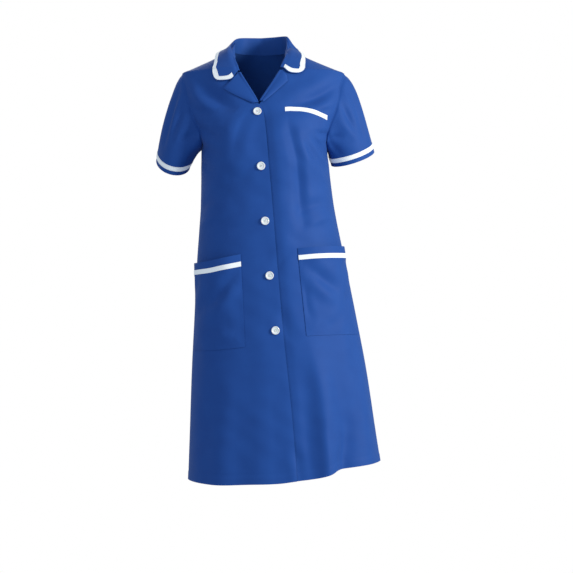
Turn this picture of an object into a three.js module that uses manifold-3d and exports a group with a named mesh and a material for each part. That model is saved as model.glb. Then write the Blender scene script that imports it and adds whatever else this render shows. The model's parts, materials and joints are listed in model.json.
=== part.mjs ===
// Nurse uniform dress, worn: button-through, below the knee, with short set-in sleeves, a notched revere collar,
// white braid and a breast welt over two patch pockets. Hollow, in the shape it keeps on a wearer who stands with
// the hips swung to one side, and open at the neck, cuffs and hem.
// Millimetres. -Y is the front, +X the wearer's left, +Z up. The origin is midway between the two side-neck points,
// where the dress is borne on the shoulders.
import * as THREE from "three";
import Module from "manifold-3d";
import { mergeVertices } from "three/addons/utils/BufferGeometryUtils.js";

const wasm = await Module();
wasm.setup();

// ---- driving sizes ----
const CLOTH = 1.5; // a single layer of body cloth
const FACED = 2.0; // collar and revere: two layers pressed together
const BRAID = 1.0; // the white braid's own thickness
const GAP = 0.3; // between pieces at a seam, and between a piece and what it lies on
const BRAID_WIDTH = 10.5;
const BRAID_INSET = 10; // from a sleeve's hem edge up to the braid
const POCKET_HEM = 16; // from a pocket's mouth down to the braid
const HEM_LEVEL = -1010; // the level hem, before the hips lift it
const UNDERARM = -235;
const SHOULDER_TIP = -61;
const NECK_LEVEL = -8; // the back neckline
const LAP = 40; // how far the right front lies over the left one
const LAP_RIDE = CLOTH + GAP * 3; // and how far it stands off for that
const BUTTON = { radius: 9.5, thick: 3.2, first: -164, step: 124, count: 5, hole: 0.9, apart: 2 };
const BUTTON_INSETS = [14, 18, 19.5, 19.5, 17]; // each centre's distance in from the free edge
const POCKET = { width: 158, depth: 200, wall: 1.3 };

// ---- the worn form: level sections, a row for each height ----
// left, right: the outline's x. front, back: the depth's y. side: y of the widest point. full: 2 is an ellipse,
// and more is squarer.
const FORM = [
  { z: 12, left: -34, right: 24, front: -36, back: 46, side: 2, full: 2.0 },
  { z: -8, left: -74, right: 69, front: -52, back: 66, side: 2, full: 2.0 },
  { z: -34, left: -127, right: 127, front: -68, back: 84, side: 3, full: 1.95 },
  { z: -54, left: -172, right: 176, front: -79, back: 95, side: 4, full: 1.95 },
  { z: -61, left: -188, right: 194, front: -83, back: 98, side: 4, full: 1.95 },
  { z: -100, left: -194, right: 200, front: -96, back: 109, side: 5, full: 2.1 },
  { z: -145, left: -186, right: 193, front: -109, back: 116, side: 6, full: 2.25 },
  { z: -192, left: -164, right: 172, front: -124, back: 117, side: 5, full: 2.3 },
  { z: -235, left: -142, right: 153, front: -131, back: 114, side: 4, full: 2.35 },
  { z: -288, left: -142, right: 158, front: -131, back: 109, side: 2, full: 2.35 },
  { z: -362, left: -143, right: 167, front: -126, back: 104, side: 0, full: 2.3 },
  { z: -503, left: -152, right: 195, front: -129, back: 115, side: 0, full: 2.25 },
  { z: -616, left: -157.5, right: 218, front: -135, back: 127, side: 0, full: 2.2 },
  { z: -757, left: -164.5, right: 245, front: -143, back: 138, side: -1, full: 2.15 },
  { z: -898, left: -169, right: 266.5, front: -151, back: 149, side: -2, full: 2.1 },
  { z: -1010, left: -173, right: 284.5, front: -157, back: 157, side: -2, full: 2.1 },
  { z: -1070, left: -175, right: 293.5, front: -160, back: 161, side: -2, full: 2.1 },
];

// Armhole: how far out its edge lies, as a share of the half width.
const ARMHOLE = [
  { z: -61, share: 1.0 },
  { z: -72, share: 0.955 },
  { z: -100, share: 0.905 },
  { z: -150, share: 0.885 },
  { z: -192, share: 0.905 },
  { z: -223, share: 0.955 },
  { z: -235, share: 1.0 },
];

// The fronts' free edges. right: the wearer's right front, on top. left: the left front, which runs on beneath it.
// Above the break they are the lines the reveres roll over, up to the side-neck points.
const FRONT_EDGE = [
  { z: -8, right: -72.5, left: 67.5 },
  { z: -16, right: -73, left: 66 },
  { z: -30, right: -70, left: 62 },
  { z: -52, right: -62, left: 53 },
  { z: -77, right: -48.5, left: 39 },
  { z: -120, right: -22.5, left: 12 },
  { z: -143, right: -8.5, left: -3 },
  { z: -152, right: 2.5, left: -10 },
  { z: -190, right: 9, left: -31 },
  { z: -292, right: 18.5, left: -21.5 },
  { z: -379, right: 26, left: -14 },
  { z: -538, right: 39, left: -1 },
  { z: -663, right: 50, left: 10 },
  { z: -835, right: 68, left: 28 },
  { z: -938, right: 77, left: 37 },
  { z: -1053, right: 84, left: 44 },
  { z: -1110, right: 87, left: 47 },
];

// The hem's height round the front, lifted on the wearer's left. The back runs evenly between the two sides.
const HEM_FRONT = [
  { x: -173, z: -1010 },
  { x: -113, z: -1012 },
  { x: -20, z: -1007 },
  { x: 41, z: -1004 },
  { x: 79, z: -999 },
  { x: 128, z: -993 },
  { x: 158, z: -985 },
  { x: 176, z: -977 },
  { x: 216, z: -972 },
  { x: 281, z: -967 },
];

// Swells and folds, each along a line from (x0, z0) to (x1, z1), out by rise, or in where it is negative.
const FOLDS = [
  { face: 1, x0: 76, z0: -215, x1: 82, z1: -262, wide: 46, rise: 11 }, // left bust
  { face: 1, x0: -68, z0: -215, x1: -66, z1: -262, wide: 46, rise: 10 }, // right bust
  { face: 1, x0: 60, z0: -215, x1: 96, z1: -420, wide: 17, rise: -6 }, // drag line from bust to waist
  { face: 1, x0: 124, z0: -650, x1: 164, z1: -1060, wide: 26, rise: 8 }, // skirt flare, crest
  { face: 1, x0: 205, z0: -780, x1: 190, z1: -1060, wide: 20, rise: -9 }, // skirt flare, hollow
  { face: 1, x0: 98, z0: -700, x1: 112, z1: -1060, wide: 18, rise: -4 },
  { face: 1, x0: -95, z0: -760, x1: -100, z1: -1060, wide: 30, rise: 5 },
  { face: -1, x0: -60, z0: -560, x1: -88, z1: -1060, wide: 30, rise: 9 },
  { face: -1, x0: 0, z0: -640, x1: 12, z1: -1060, wide: 26, rise: -7 },
  { face: -1, x0: 74, z0: -540, x1: 130, z1: -1060, wide: 30, rise: 10 },
  { face: -1, x0: -6, z0: -270, x1: 8, z1: -420, wide: 34, rise: -7 }, // hollow of the back
];

// ---- sleeves: the armhole runs out to a tilted oval hem ----
// out: from the hem's centre to its outer edge. fore: to its front edge, which hangs lower as the elbow goes back.
const SLEEVES = [
  {
    side: -1,
    centre: [-210, 18, -270],
    out: [-40, 0, 9],
    fore: [0, -58, -31],
    cap: [-74, 0, -115],
  },
  {
    side: 1,
    centre: [214, 18, -258],
    out: [51, 0, 16],
    fore: [0, -52, -16],
    cap: [112, 0, -112],
  },
];

// ---- small tools ----
const V = (x, y, z) => new THREE.Vector3(x, y, z);
const lerp = THREE.MathUtils.lerp;
const clamp = THREE.MathUtils.clamp;
const ease = (t) => THREE.MathUtils.smoothstep(t, 0, 1);
const between = (a, b, t) => a.clone().lerp(b, t);
const steps = (n) => Array.from({ length: n + 1 }, (_, i) => i / n);

// A smooth curve through one column of a table, which never overshoots its rows.
function reader(table, key, column) {
  const rows = [...table].sort((a, b) => a[key] - b[key]);
  const at = rows.map((r) => r[key]);
  const value = rows.map((r) => r[column]);
  const slope = at.slice(1).map((x, i) => (value[i + 1] - value[i]) / (x - at[i]));
  const tangent = value.map((_, i) => {
    const before = slope[i - 1] ?? slope[i];
    const after = slope[i] ?? slope[i - 1];
    return before * after > 0 ? (2 * before * after) / (before + after) : 0;
  });
  return (x) => {
    const i = clamp(at.findIndex((a) => a >= x) - 1, 0, at.length - 2);
    if (x >= at[at.length - 1]) return value[value.length - 1];
    if (x <= at[0]) return value[0];
    const h = at[i + 1] - at[i];
    const t = (x - at[i]) / h;
    const bend = h * t * (1 - t);
    const linear = lerp(value[i], value[i + 1], t);
    return linear + bend * ((1 - t) * (tangent[i] - slope[i]) - t * (tangent[i + 1] - slope[i]));
  };
}

const form = Object.fromEntries(
  ["left", "right", "front", "back", "side", "full"].map((c) => [c, reader(FORM, "z", c)]),
);
const armShare = reader(ARMHOLE, "z", "share");
const edgeOf = {
  right: reader(FRONT_EDGE, "z", "right"),
  left: reader(FRONT_EDGE, "z", "left"),
};
const hemFront = reader(HEM_FRONT, "x", "z");

function section(z) {
  const left = form.left(z);
  const right = form.right(z);
  const side = form.side(z);
  return {
    centre: (left + right) / 2,
    half: (right - left) / 2,
    side,
    fore: side - form.front(z),
    aft: form.back(z) - side,
    full: form.full(z),
  };
}

// The push of every fold at a place on the front (face 1) or back (face -1).
function folded(x, z, face) {
  let push = 0;
  for (const f of FOLDS) {
    if (f.face !== face) continue;
    const length2 = (f.x1 - f.x0) ** 2 + (f.z1 - f.z0) ** 2;
    const t = clamp(((x - f.x0) * (f.x1 - f.x0) + (z - f.z0) * (f.z1 - f.z0)) / length2, 0, 1);
    const away = Math.hypot(x - lerp(f.x0, f.x1, t), z - lerp(f.z0, f.z1, t));
    const grow = f.z1 < HEM_LEVEL ? ease(t * 1.6) : 1;
    push += f.rise * grow * Math.exp(-((away / f.wide) ** 2));
  }
  return push;
}

// A place on the plain form: angle 0 is the centre front, +90 degrees the wearer's left side, 180 the back.
function plainPoint(angle, z) {
  const s = section(z);
  const sin = Math.sin(angle);
  const cos = Math.cos(angle);
  const depth = cos > 0 ? s.fore : s.aft;
  const reach =
    ((Math.abs(sin) / s.half) ** s.full + (Math.abs(cos) / depth) ** s.full) ** (-1 / s.full);
  return V(s.centre + reach * sin, s.side - reach * cos, z);
}

function plainNormal(angle, z) {
  const round = plainPoint(angle + 0.01, z).sub(plainPoint(angle - 0.01, z));
  const up = plainPoint(angle, z + 1).sub(plainPoint(angle, z - 1));
  return round.cross(up).normalize();
}

// The same place with the folds pushed out, along the form's normal.
function bodyPoint(angle, z, lift = 0) {
  const p = plainPoint(angle, z);
  const face = Math.cos(angle) > 0 ? 1 : -1;
  const flank = ease(Math.abs(Math.cos(angle)) * 2.5); // folds die out towards the side seams
  return p.addScaledVector(plainNormal(angle, z), folded(p.x, z, face) * flank + lift);
}

function bodyNormal(angle, z) {
  const round = bodyPoint(angle + 0.02, z).sub(bodyPoint(angle - 0.02, z));
  const up = bodyPoint(angle, z + 2).sub(bodyPoint(angle, z - 2));
  return round.cross(up).normalize();
}

// The angle at which the form has this x, on its front (face 1) or back (face -1).
function angleAt(x, z, face = 1) {
  const s = section(z);
  const share = clamp((x - s.centre) / s.half, -1, 1);
  const depth = (face > 0 ? s.fore : s.aft) * (1 - Math.abs(share) ** s.full) ** (1 / s.full);
  return Math.atan2(share * s.half, face * depth);
}

// From an angle, this far along the surface at that height.
function angleAlong(angle, z, distance) {
  const step = Math.sign(distance) * 0.01;
  let gone = 0;
  let at = angle;
  while (gone < Math.abs(distance)) {
    const moved = plainPoint(at, z).distanceTo(plainPoint(at + step, z));
    at += step * Math.min(1, (Math.abs(distance) - gone) / moved);
    gone += moved;
  }
  return at;
}

// ---- walls ----
// A closed wall from a grid of { p, inward }: p on its outer face, inward the step to its inner face.
// ring: the last column joins the first.
function wall(grid, ring = false) {
  const across = grid[0].length;
  const points = [];
  for (const row of grid)
    for (const { p, inward } of row) points.push(p, p.clone().add(inward));
  const outer = (i, j) => 2 * (i * across + (j % across));
  const inner = (i, j) => outer(i, j) + 1;
  const triangles = [];
  const quad = (a, b, c, d) => triangles.push(a, b, c, a, c, d);
  const last = grid.length - 1;
  const columns = ring ? across : across - 1;
  for (let j = 0; j < columns; j++) {
    for (let i = 0; i < last; i++) {
      quad(outer(i, j), outer(i, j + 1), outer(i + 1, j + 1), outer(i + 1, j));
      quad(inner(i, j), inner(i + 1, j), inner(i + 1, j + 1), inner(i, j + 1));
    }
    quad(outer(0, j), inner(0, j), inner(0, j + 1), outer(0, j + 1));
    quad(outer(last, j), outer(last, j + 1), inner(last, j + 1), inner(last, j));
  }
  if (!ring)
    for (let i = 0; i < last; i++) {
      quad(outer(i, 0), outer(i + 1, 0), inner(i + 1, 0), inner(i, 0));
      quad(outer(i, columns), inner(i, columns), inner(i + 1, columns), outer(i + 1, columns));
    }
  return facingOut(points, triangles);
}

function facingOut(points, triangles) {
  let volume = 0;
  for (let i = 0; i < triangles.length; i += 3) {
    const [a, b, c] = triangles.slice(i, i + 3).map((k) => points[k]);
    volume += a.dot(b.clone().cross(c));
  }
  if (volume < 0) triangles.reverse();
  const flat = points.flatMap((p) => [p.x, p.y, p.z]);
  return new THREE.BufferGeometry()
    .setAttribute("position", new THREE.Float32BufferAttribute(flat, 3))
    .setIndex(triangles);
}

// A grid of points as a wall of one thickness, along the normals that the grid itself has.
function sheet(points, thickness, outwards, ring = false) {
  const rows = points.length;
  const across = points[0].length;
  const at = (i, j) =>
    points[clamp(i, 0, rows - 1)][ring ? (j + across) % across : clamp(j, 0, across - 1)];
  const grid = points.map((row, i) =>
    row.map((p, j) => {
      const along = at(i + 1, j).clone().sub(at(i - 1, j));
      const sideways = at(i, j + 1).clone().sub(at(i, j - 1));
      const normal = along.cross(sideways).normalize().multiplyScalar(outwards);
      return { p, inward: normal.multiplyScalar(-thickness) };
    }),
  );
  return wall(grid, ring);
}

// ---- heights shared by the body panels, from the neck down ----
const SHOULDER_ROWS = [NECK_LEVEL, -16, -24, -32, -42, -52, SHOULDER_TIP];
const ARMHOLE_ROWS = [-70, -82, -97, -116, -136, -157, -177, -197, -215, -228, -235];
const SKIRT_ROWS = steps(17)
  .slice(1)
  .map((t) => lerp(UNDERARM, HEM_LEVEL, t));
const ROWS = [...SHOULDER_ROWS, ...ARMHOLE_ROWS, ...SKIRT_ROWS];

// A row's own height at an angle: the lower rows share out the hem's lift.
function rowHeight(row, angle) {
  const face = Math.cos(angle) > 0 ? 1 : -1;
  const { x } = plainPoint(angle, HEM_LEVEL);
  const evenly = lerp(hemFront(-173), hemFront(281), ease((x + 173) / 454));
  const lift = (face > 0 ? hemFront(x) : evenly) - HEM_LEVEL;
  const share = clamp((-520 - row) / (-520 - HEM_LEVEL), 0, 1);
  return row + lift * share ** 1.5;
}

// The angle of the armhole's edge, or of the side or shoulder seam where there is no armhole.
function outerAngle(row, side, face) {
  const quarter = side * (Math.PI / 2);
  if (row > SHOULDER_TIP || row < UNDERARM) return quarter;
  const s = section(row);
  const share = armShare(row);
  const depth = (face > 0 ? s.fore : s.aft) * (1 - share ** s.full) ** (1 / s.full);
  return Math.atan2(side * share * s.half, face * depth);
}

// ---- sleeves ----
// Armhole vertices, from the shoulder tip down the front to the underarm and up the back.
function armholeLoop(side) {
  const down = [SHOULDER_TIP, ...ARMHOLE_ROWS];
  const up = down.slice(1, -1).reverse();
  return [...down.map((row) => [row, 1]), ...up.map((row) => [row, -1])].map(([row, face]) => {
    const angle = outerAngle(row, side, face);
    return { row, face, angle, p: bodyPoint(angle, row), normal: bodyNormal(angle, row) };
  });
}

const SLEEVE_ROWS = steps(8);

function sleeveShape(s) {
  const loop = armholeLoop(s.side);
  const lengths = loop.map((a, k) => a.p.distanceTo(loop[(k + 1) % loop.length].p));
  const round = lengths.reduce((a, b) => a + b);
  const centre = V(...s.centre);
  const out = V(...s.out);
  const fore = V(...s.fore);
  const axis = fore.clone().cross(out).normalize();
  if (axis.z > 0) axis.negate();
  let gone = 0;
  const lines = loop.map((a, k) => {
    const turn = (2 * Math.PI * gone) / round;
    gone += lengths[k];
    const hem = centre
      .clone()
      .addScaledVector(out, Math.cos(turn))
      .addScaledVector(fore, Math.sin(turn));
    const run = hem.clone().sub(a.p);
    const top = ((1 + Math.cos(turn)) / 2) ** 1.5;
    const start = run.clone().multiplyScalar(0.9).lerp(V(...s.cap), top);
    start.y += -16 * Math.sin(turn);
    return { start, hem, end: axis.clone().multiplyScalar(run.length()), from: a.p };
  });
  // A place on the sleeve: k along the armhole loop, t from the armhole to the hem.
  const point = (k, t) => {
    const l = lines[(k + lines.length) % lines.length];
    const t2 = t * t;
    const t3 = t2 * t;
    return l.from
      .clone()
      .multiplyScalar(2 * t3 - 3 * t2 + 1)
      .addScaledVector(l.start, t3 - 2 * t2 + t)
      .addScaledVector(l.hem, 3 * t2 - 2 * t3)
      .addScaledVector(l.end, t3 - t2);
  };
  const normal = (k, t) => {
    const along = point(k, Math.min(1, t + 0.01)).sub(point(k, Math.max(0, t - 0.01)));
    const around = point(k + 1, t).sub(point(k - 1, t));
    return around.cross(along).normalize().multiplyScalar(s.side);
  };
  return { ...s, loop, lines, point, normal };
}

const sleeves = SLEEVES.map(sleeveShape);

// Where body and sleeve meet: the shared way through both walls, and the way from body to sleeve across the seam.
function armholeSeam(sleeve) {
  return sleeve.loop.map((a, k) => {
    const count = sleeve.loop.length;
    const along = sleeve.loop[(k + 1) % count].p.clone();
    along.sub(sleeve.loop[(k + count - 1) % count].p).normalize();
    const other = sleeve.normal(k, 0.02);
    const mitre = a.normal.clone().add(other).normalize().negate();
    const stretch = Math.min(1 / Math.max(-mitre.dot(a.normal), 0.1), 1.6);
    const across = along.clone().cross(mitre).normalize();
    if (across.dot(sleeve.point(k, 0.1).sub(a.p)) < 0) across.negate();
    return { inward: mitre.multiplyScalar(CLOTH * stretch), across };
  });
}

const seams = sleeves.map(armholeSeam);

function seamAt(side, row, face) {
  const n = sleeves.findIndex((s) => s.side === side);
  const k = sleeves[n].loop.findIndex((a) => a.row === row && a.face === face);
  if (k >= 0) return seams[n][k];
  const corner = sleeves[n].loop.findIndex((a) => a.row === row);
  return corner >= 0 ? seams[n][corner] : null;
}

function sleeveWall(sleeve, n) {
  const grid = SLEEVE_ROWS.map((t) =>
    sleeve.loop.map((_, k) => {
      if (t > 0) {
        const inward = sleeve.normal(k, t).multiplyScalar(-CLOTH);
        return { p: sleeve.point(k, t), inward };
      }
      const { inward, across } = seams[n][k];
      return { p: sleeve.point(k, 0).addScaledVector(across, GAP / 2), inward };
    }),
  );
  return wall(grid, true);
}

// A band of braid round the sleeve, between two distances from its hem.
function sleeveBraid(sleeve) {
  const grid = [BRAID_INSET + BRAID_WIDTH, BRAID_INSET].map((distance) =>
    sleeve.loop.map((_, k) => {
      const length = sleeve.lines[k].end.length();
      const t = 1 - distance / length;
      const normal = sleeve.normal(k, t);
      const p = sleeve.point(k, t).addScaledVector(normal, GAP * 3.5 + BRAID);
      return { p, inward: normal.multiplyScalar(-BRAID) };
    }),
  );
  return wall(grid, true);
}

// ---- body panels ----
// columns(row): a panel's angles from its free edge or first seam to its last. lift(angle, z): how far it rides over
// what is under it. side: the front's side, or 0 for the back, which has a sleeve at both ends.
function panel(columns, side, face, lift = () => 0) {
  const half = GAP / 2;
  const grid = ROWS.map((row) => {
    const angles = columns(row);
    const last = angles.length - 1;
    const way = Math.sign(angles[last] - angles[0]);
    return angles.map((angle, j) => {
      const z = rowHeight(row, angle);
      const normal = bodyNormal(angle, z);
      const p = bodyPoint(angle, z, lift(angle, z));
      const round = V(-normal.y, normal.x, 0).normalize();
      const edge = j === 0 ? 1 : j === last ? -1 : 0;
      p.addScaledVector(round, edge * half * way);
      const sewn = side ? j === last : edge !== 0;
      const seam = sewn ? seamAt(side || (j === 0 ? -1 : 1), row, face) : null;
      if (!seam) return { p, inward: normal.multiplyScalar(-CLOTH) };
      return { p: p.addScaledVector(seam.across, -half), inward: seam.inward.clone() };
    });
  });
  return wall(grid);
}

// Even steps out to a panel's edge, of which all but the last three keep clear of the armhole's curve.
function outwards(count, row, from, outer) {
  const quarter = Math.sign(outer) * (Math.PI / 2);
  const past = Math.abs(outer) > Math.PI / 2 ? Math.PI - 1.12 : 1.12;
  const calm = lerp(Math.sign(outer) * past, quarter, ease((-150 - row) / 320));
  const kept = count - 3;
  const inside = Math.abs(calm - from) < Math.abs(outer - from) ? calm : outer;
  const knee = lerp(from, inside, kept / count);
  return steps(count).map((t, j) => (j <= kept ? lerp(from, knee, j / kept) : lerp(knee, outer, (j - kept) / 3)));
}

// A front's angles: three across the lap, shared by both fronts, then evenly out to its side.
function frontColumns(side) {
  const [mine, other] = side < 0 ? ["right", "left"] : ["left", "right"];
  return (row) => {
    const edge = edgeOf[mine](row);
    const under = edgeOf[other](row);
    const far = (under - edge) * side > 8 ? under : edge + side * 8;
    const outer = outerAngle(row, side, 1);
    const start = angleAt(edge, row);
    const reach = angleAt(far, row);
    const limit = (reach - outer) * side < 0 ? reach : lerp(start, outer, 0.3);
    return [start, lerp(start, limit, 0.5), ...outwards(8, row, limit, outer)];
  };
}

// The right front lies on the left one, and comes down to the form further round.
function lapLift(angle, z) {
  const away = edgeOf.right(z) - plainPoint(angle, z).x;
  return LAP_RIDE * (1 - ease((away - LAP - 4) / 50)) * (1 - ease((z + 110) / 50));
}

function backColumns(row) {
  const left = outwards(8, row, Math.PI, outerAngle(row, 1, -1)).map((angle) => angle - 2 * Math.PI);
  const right = outwards(8, row, -Math.PI, outerAngle(row, -1, -1));
  return [...right.reverse(), ...left.slice(1)];
}

// ---- seating things on the body ----
// How far a point is outside the plain form, near enough for a few centimetres.
function formDistance(p) {
  const value = (q) => {
    const s = section(q.z);
    const depth = q.y < s.side ? s.fore : s.aft;
    const across = Math.abs((q.x - s.centre) / s.half) ** s.full;
    return (across + Math.abs((q.y - s.side) / depth) ** s.full) ** (1 / s.full);
  };
  const here = value(p);
  const slope = ["x", "y", "z"].map((c) => {
    const q = p.clone();
    q[c] += 0.5;
    return (value(q) - here) / 0.5;
  });
  const gradient = V(...slope);
  return { distance: (here - 1) / gradient.length(), way: gradient.normalize() };
}

// The point, moved out to at least this far off the form, or in to no further than most.
function seat(p, least, most = Infinity) {
  const q = p.clone();
  for (let i = 0; i < 5; i++) {
    const { distance, way } = formDistance(q);
    q.addScaledVector(way, clamp(distance, least, most) - distance);
  }
  return q;
}

// The front's own surface at x and z, lifted off what lies there already.
function onFront(x, z, lift) {
  const angle = angleAt(x, z);
  const lap = x < edgeOf.right(z) ? lapLift(angle, z) : 0;
  return bodyPoint(angle, z, lift + lap);
}

// ---- collar: a stand that rises from the neckline, rolls over and falls on the shoulders ----
// A row for each station from the centre back (0) to the gorge (1). roll: the top of the fold. mid, edge: the fall.
const COLLAR = {
  right: [
    { s: 0, roll: [-2.5, 60, 31], mid: [-2.5, 82, 6], edge: [-2.5, 92, -24] },
    { s: 0.25, roll: [-43, 45, 29], mid: [-60, 62, 6], edge: [-74, 74, -25] },
    { s: 0.5, roll: [-61, 8, 20], mid: [-80, 8, 4], edge: [-98, 8, -15] },
    { s: 0.62, roll: [-65, -9, 3], mid: [-85, -16, -9], edge: [-104, -24, -28] },
    { s: 0.75, roll: [-64, -25, -14], mid: [-87, -38, -27], edge: [-106, -50, -48] },
    { s: 0.88, roll: [-58, -52, -41], mid: [-84, -62, -56], edge: [-110, -66, -70] },
    { s: 1, roll: [-48.5, -74, -68], mid: [-68, -84, -89], edge: [-104, -78, -91] },
  ],
  left: [
    { s: 0, roll: [-2.5, 60, 31], mid: [-2.5, 82, 6], edge: [-2.5, 92, -24] },
    { s: 0.25, roll: [38, 46, 32], mid: [55, 62, 9], edge: [70, 74, -23] },
    { s: 0.5, roll: [57, 10, 27], mid: [73, 8, 9], edge: [89, 8, -11] },
    { s: 0.62, roll: [59, -7, 9], mid: [77, -14, -6], edge: [95, -22, -27] },
    { s: 0.75, roll: [56.5, -24, -9], mid: [79, -36, -24], edge: [98, -44, -43] },
    { s: 0.88, roll: [52, -46, -33], mid: [76, -58, -45], edge: [99, -58, -56] },
    { s: 1, roll: [42.5, -70, -61], mid: [64, -74, -74], edge: [91, -70, -74] },
  ],
};

function smoothThrough(points, t) {
  const x = t * (points.length - 1);
  const i = clamp(Math.floor(x), 0, points.length - 2);
  const at = (k) => points[clamp(k, 0, points.length - 1)];
  const f = x - i;
  const curve = (c) => {
    const [a, b, d, e] = [at(i - 1)[c], at(i)[c], at(i + 1)[c], at(i + 2)[c]];
    return b + 0.5 * f * (d - a + f * (2 * a - 5 * b + 4 * d - e + f * (3 * (b - d) + e - a)));
  };
  return V(curve("x"), curve("y"), curve("z"));
}

// The collar's station: side and s, as its section from the neckline seam over the roll to the outer edge.
function collarSection(side, s) {
  const name = side < 0 ? "right" : "left";
  const rows = COLLAR[name];
  const column = (key) => {
    const flat = rows.map((r) => ({ s: r.s, x: r[key][0], y: r[key][1], z: r[key][2] }));
    return V(...["x", "y", "z"].map((c) => reader(flat, "s", c)(s)));
  };
  const roll = seat(column("roll"), 2.5 * ease((s - 0.82) / 0.14) - 60 * (1 - ease((s - 0.7) / 0.16)));
  const edge = seat(column("edge"), 5.2, 5.2);
  const mid = seat(column("mid"), 5.6);
  const out = mid.clone().sub(roll).setZ(0).normalize();
  const over = roll.clone().addScaledVector(out, 5).add(V(0, 0, -1));
  const base = collarBase(side, s);
  const stand = between(base, roll, 0.55).addScaledVector(out, -1.5);
  return [base, stand, roll, over, mid, edge];
}

// The foot of the stand, just clear of the neckline.
function collarBase(side, s) {
  if (s <= 0.5) {
    const angle = lerp(Math.PI, Math.PI / 2, s * 2) * side;
    const p = plainPoint(angle, NECK_LEVEL);
    const step = plainNormal(angle, NECK_LEVEL).setZ(0).normalize();
    return p.addScaledVector(step, -0.6 - 2.4 * ease(s * 2)).setZ(NECK_LEVEL + 0.8 + 1.2 * ease(s * 2));
  }
  const name = side < 0 ? "right" : "left";
  const gorge = side < 0 ? -64 : -57;
  const z = lerp(NECK_LEVEL, gorge, (s - 0.5) * 2);
  const p = onFront(edgeOf[name](z) - side * 2.6, z, side < 0 ? LAP_RIDE * 0.6 : 0);
  return p.add(V(-side * 1.4, 0, 2 * (1 - (s - 0.5) * 2)));
}

// A place on the collar: u from the right gorge (-1) round the back to the left gorge (1), v across its section.
function collarPoint(u, v) {
  const side = u < 0 ? -1 : 1;
  const p = smoothThrough(collarSection(side, Math.abs(u)), v);
  const ride = side < 0 ? LAP_RIDE * ease((Math.abs(u) - 0.45) / 0.1) : 0;
  return v < 0.5 ? p : seat(p, (5.4 + ride) * ease((v - 0.5) / 0.2));
}

const COLLAR_ROUND = 12; // the radius of the fall's front corners
const BRAID_TOP = { "-1": 0.735, 1: 0.64 }; // where the braid ends, near the notches
const HALF_COLUMNS = [
  0.08, 0.16, 0.24, 0.32, 0.4, 0.48, 0.52, 0.57, 0.62, 0.68, 0.74, 0.8, 0.86, 0.9, 0.925, 0.95, 0.97, 0.985, 1,
];
const COLLAR_COLUMNS = [...HALF_COLUMNS.map((u) => -u).reverse(), 0, ...HALF_COLUMNS];

// Millimetres for one whole step of u at a height on a front end, and of v at a place along the fall's edge.
const endScale = (side, v) => collarPoint(side, v).distanceTo(collarPoint(side * 0.96, v)) / 0.04;
const fallScale = (u) => collarPoint(u, 1).distanceTo(collarPoint(u, 0.92)) / 0.08;
const CORNER_SCALES = new Map([-1, 1].map((side) => [side, [endScale(side, 0.93), fallScale(side * 0.94)]]));

// How far down a column of the fall goes: its front corners are rounded.
function lowest(u) {
  const [across, down] = CORNER_SCALES.get(u < 0 ? -1 : 1);
  const short = Math.max(COLLAR_ROUND - (1 - Math.abs(u)) * across, 0);
  return 1 - (COLLAR_ROUND - Math.sqrt(COLLAR_ROUND ** 2 - short ** 2)) / down;
}

function collarWall() {
  const rows = [0, 0.2, 0.34, 0.44, 0.53, 0.63, 0.76, 0.82, 0.88, 0.94, 1];
  return sheet(
    COLLAR_COLUMNS.map((u) => rows.map((v) => collarPoint(u, v * lowest(u)))),
    FACED,
    1,
  );
}

// One front end of the braid, from the notch down and round the corner. mm: how far in from the collar's edge.
function braidEnd(side, mm) {
  const [across, down] = CORNER_SCALES.get(side);
  const round = Math.max(COLLAR_ROUND - mm, 1.2);
  const at = (a, v) => [side * (1 - a / across), v];
  const top = 1 - (mm + round) / down;
  const line = [0, 0.25, 0.5, 0.75].map((t) => at(mm, lerp(BRAID_TOP[side], top, t)));
  for (const turn of steps(6).map((k) => k * (Math.PI / 2))) {
    line.push(at(mm + round * (1 - Math.cos(turn)), 1 - (mm + round * (1 - Math.sin(turn))) / down));
  }
  return line;
}

// Braid round the fall, up both front ends as far as the notches.
function collarBraid() {
  const line = (mm) => [
    ...braidEnd(-1, mm),
    ...COLLAR_COLUMNS.filter((u) => Math.abs(u) < 0.87).map((u) => [u, 1 - mm / fallScale(u)]),
    ...braidEnd(1, mm).reverse(),
  ];
  const outer = line(1.5);
  const outline = line(1.5 + BRAID_WIDTH).map((inner, k) => [outer[k], inner]);
  const normal = ([u, v]) => {
    const along = collarPoint(clamp(u + 0.01, -1, 1), v).sub(collarPoint(clamp(u - 0.01, -1, 1), v));
    const across = collarPoint(u, Math.min(v + 0.01, 1)).sub(collarPoint(u, v - 0.01));
    return along.cross(across).normalize();
  };
  const grid = outline.map((pair) =>
    [0, 0.5, 1].map((t) => {
      const at = [lerp(pair[0][0], pair[1][0], t), lerp(pair[0][1], pair[1][1], t)];
      const n = normal(at);
      if (n.dot(formDistance(collarPoint(...at)).way) < 0) n.negate();
      const p = collarPoint(...at).addScaledVector(n, GAP * 7.5 + BRAID);
      return { p, inward: n.multiplyScalar(-BRAID) };
    }),
  );
  return wall(grid);
}

// ---- reveres: a row from the break up to the gorge. roll: the height on the roll line. x, z: the outer edge ----
const REVERES = {
  right: [
    { roll: -143, x: -18, z: -145 },
    { roll: -130, x: -34, z: -137 },
    { roll: -116, x: -52, z: -128.5 },
    { roll: -102, x: -71, z: -118.5 },
    { roll: -89, x: -85, z: -108.5 },
    { roll: -79, x: -79, z: -102 },
    { roll: -71.5, x: -69.5, z: -93 },
  ],
  left: [
    { roll: -138, x: 6, z: -139.5 },
    { roll: -125, x: 19, z: -128.5 },
    { roll: -112, x: 32, z: -117 },
    { roll: -99, x: 46, z: -104 },
    { roll: -85, x: 60.5, z: -90 },
    { roll: -75, x: 59, z: -85 },
    { roll: -65, x: 58, z: -78 },
  ],
};
const ROLL_OUT = 4.5; // how far the roll stands past the front's own edge

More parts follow.
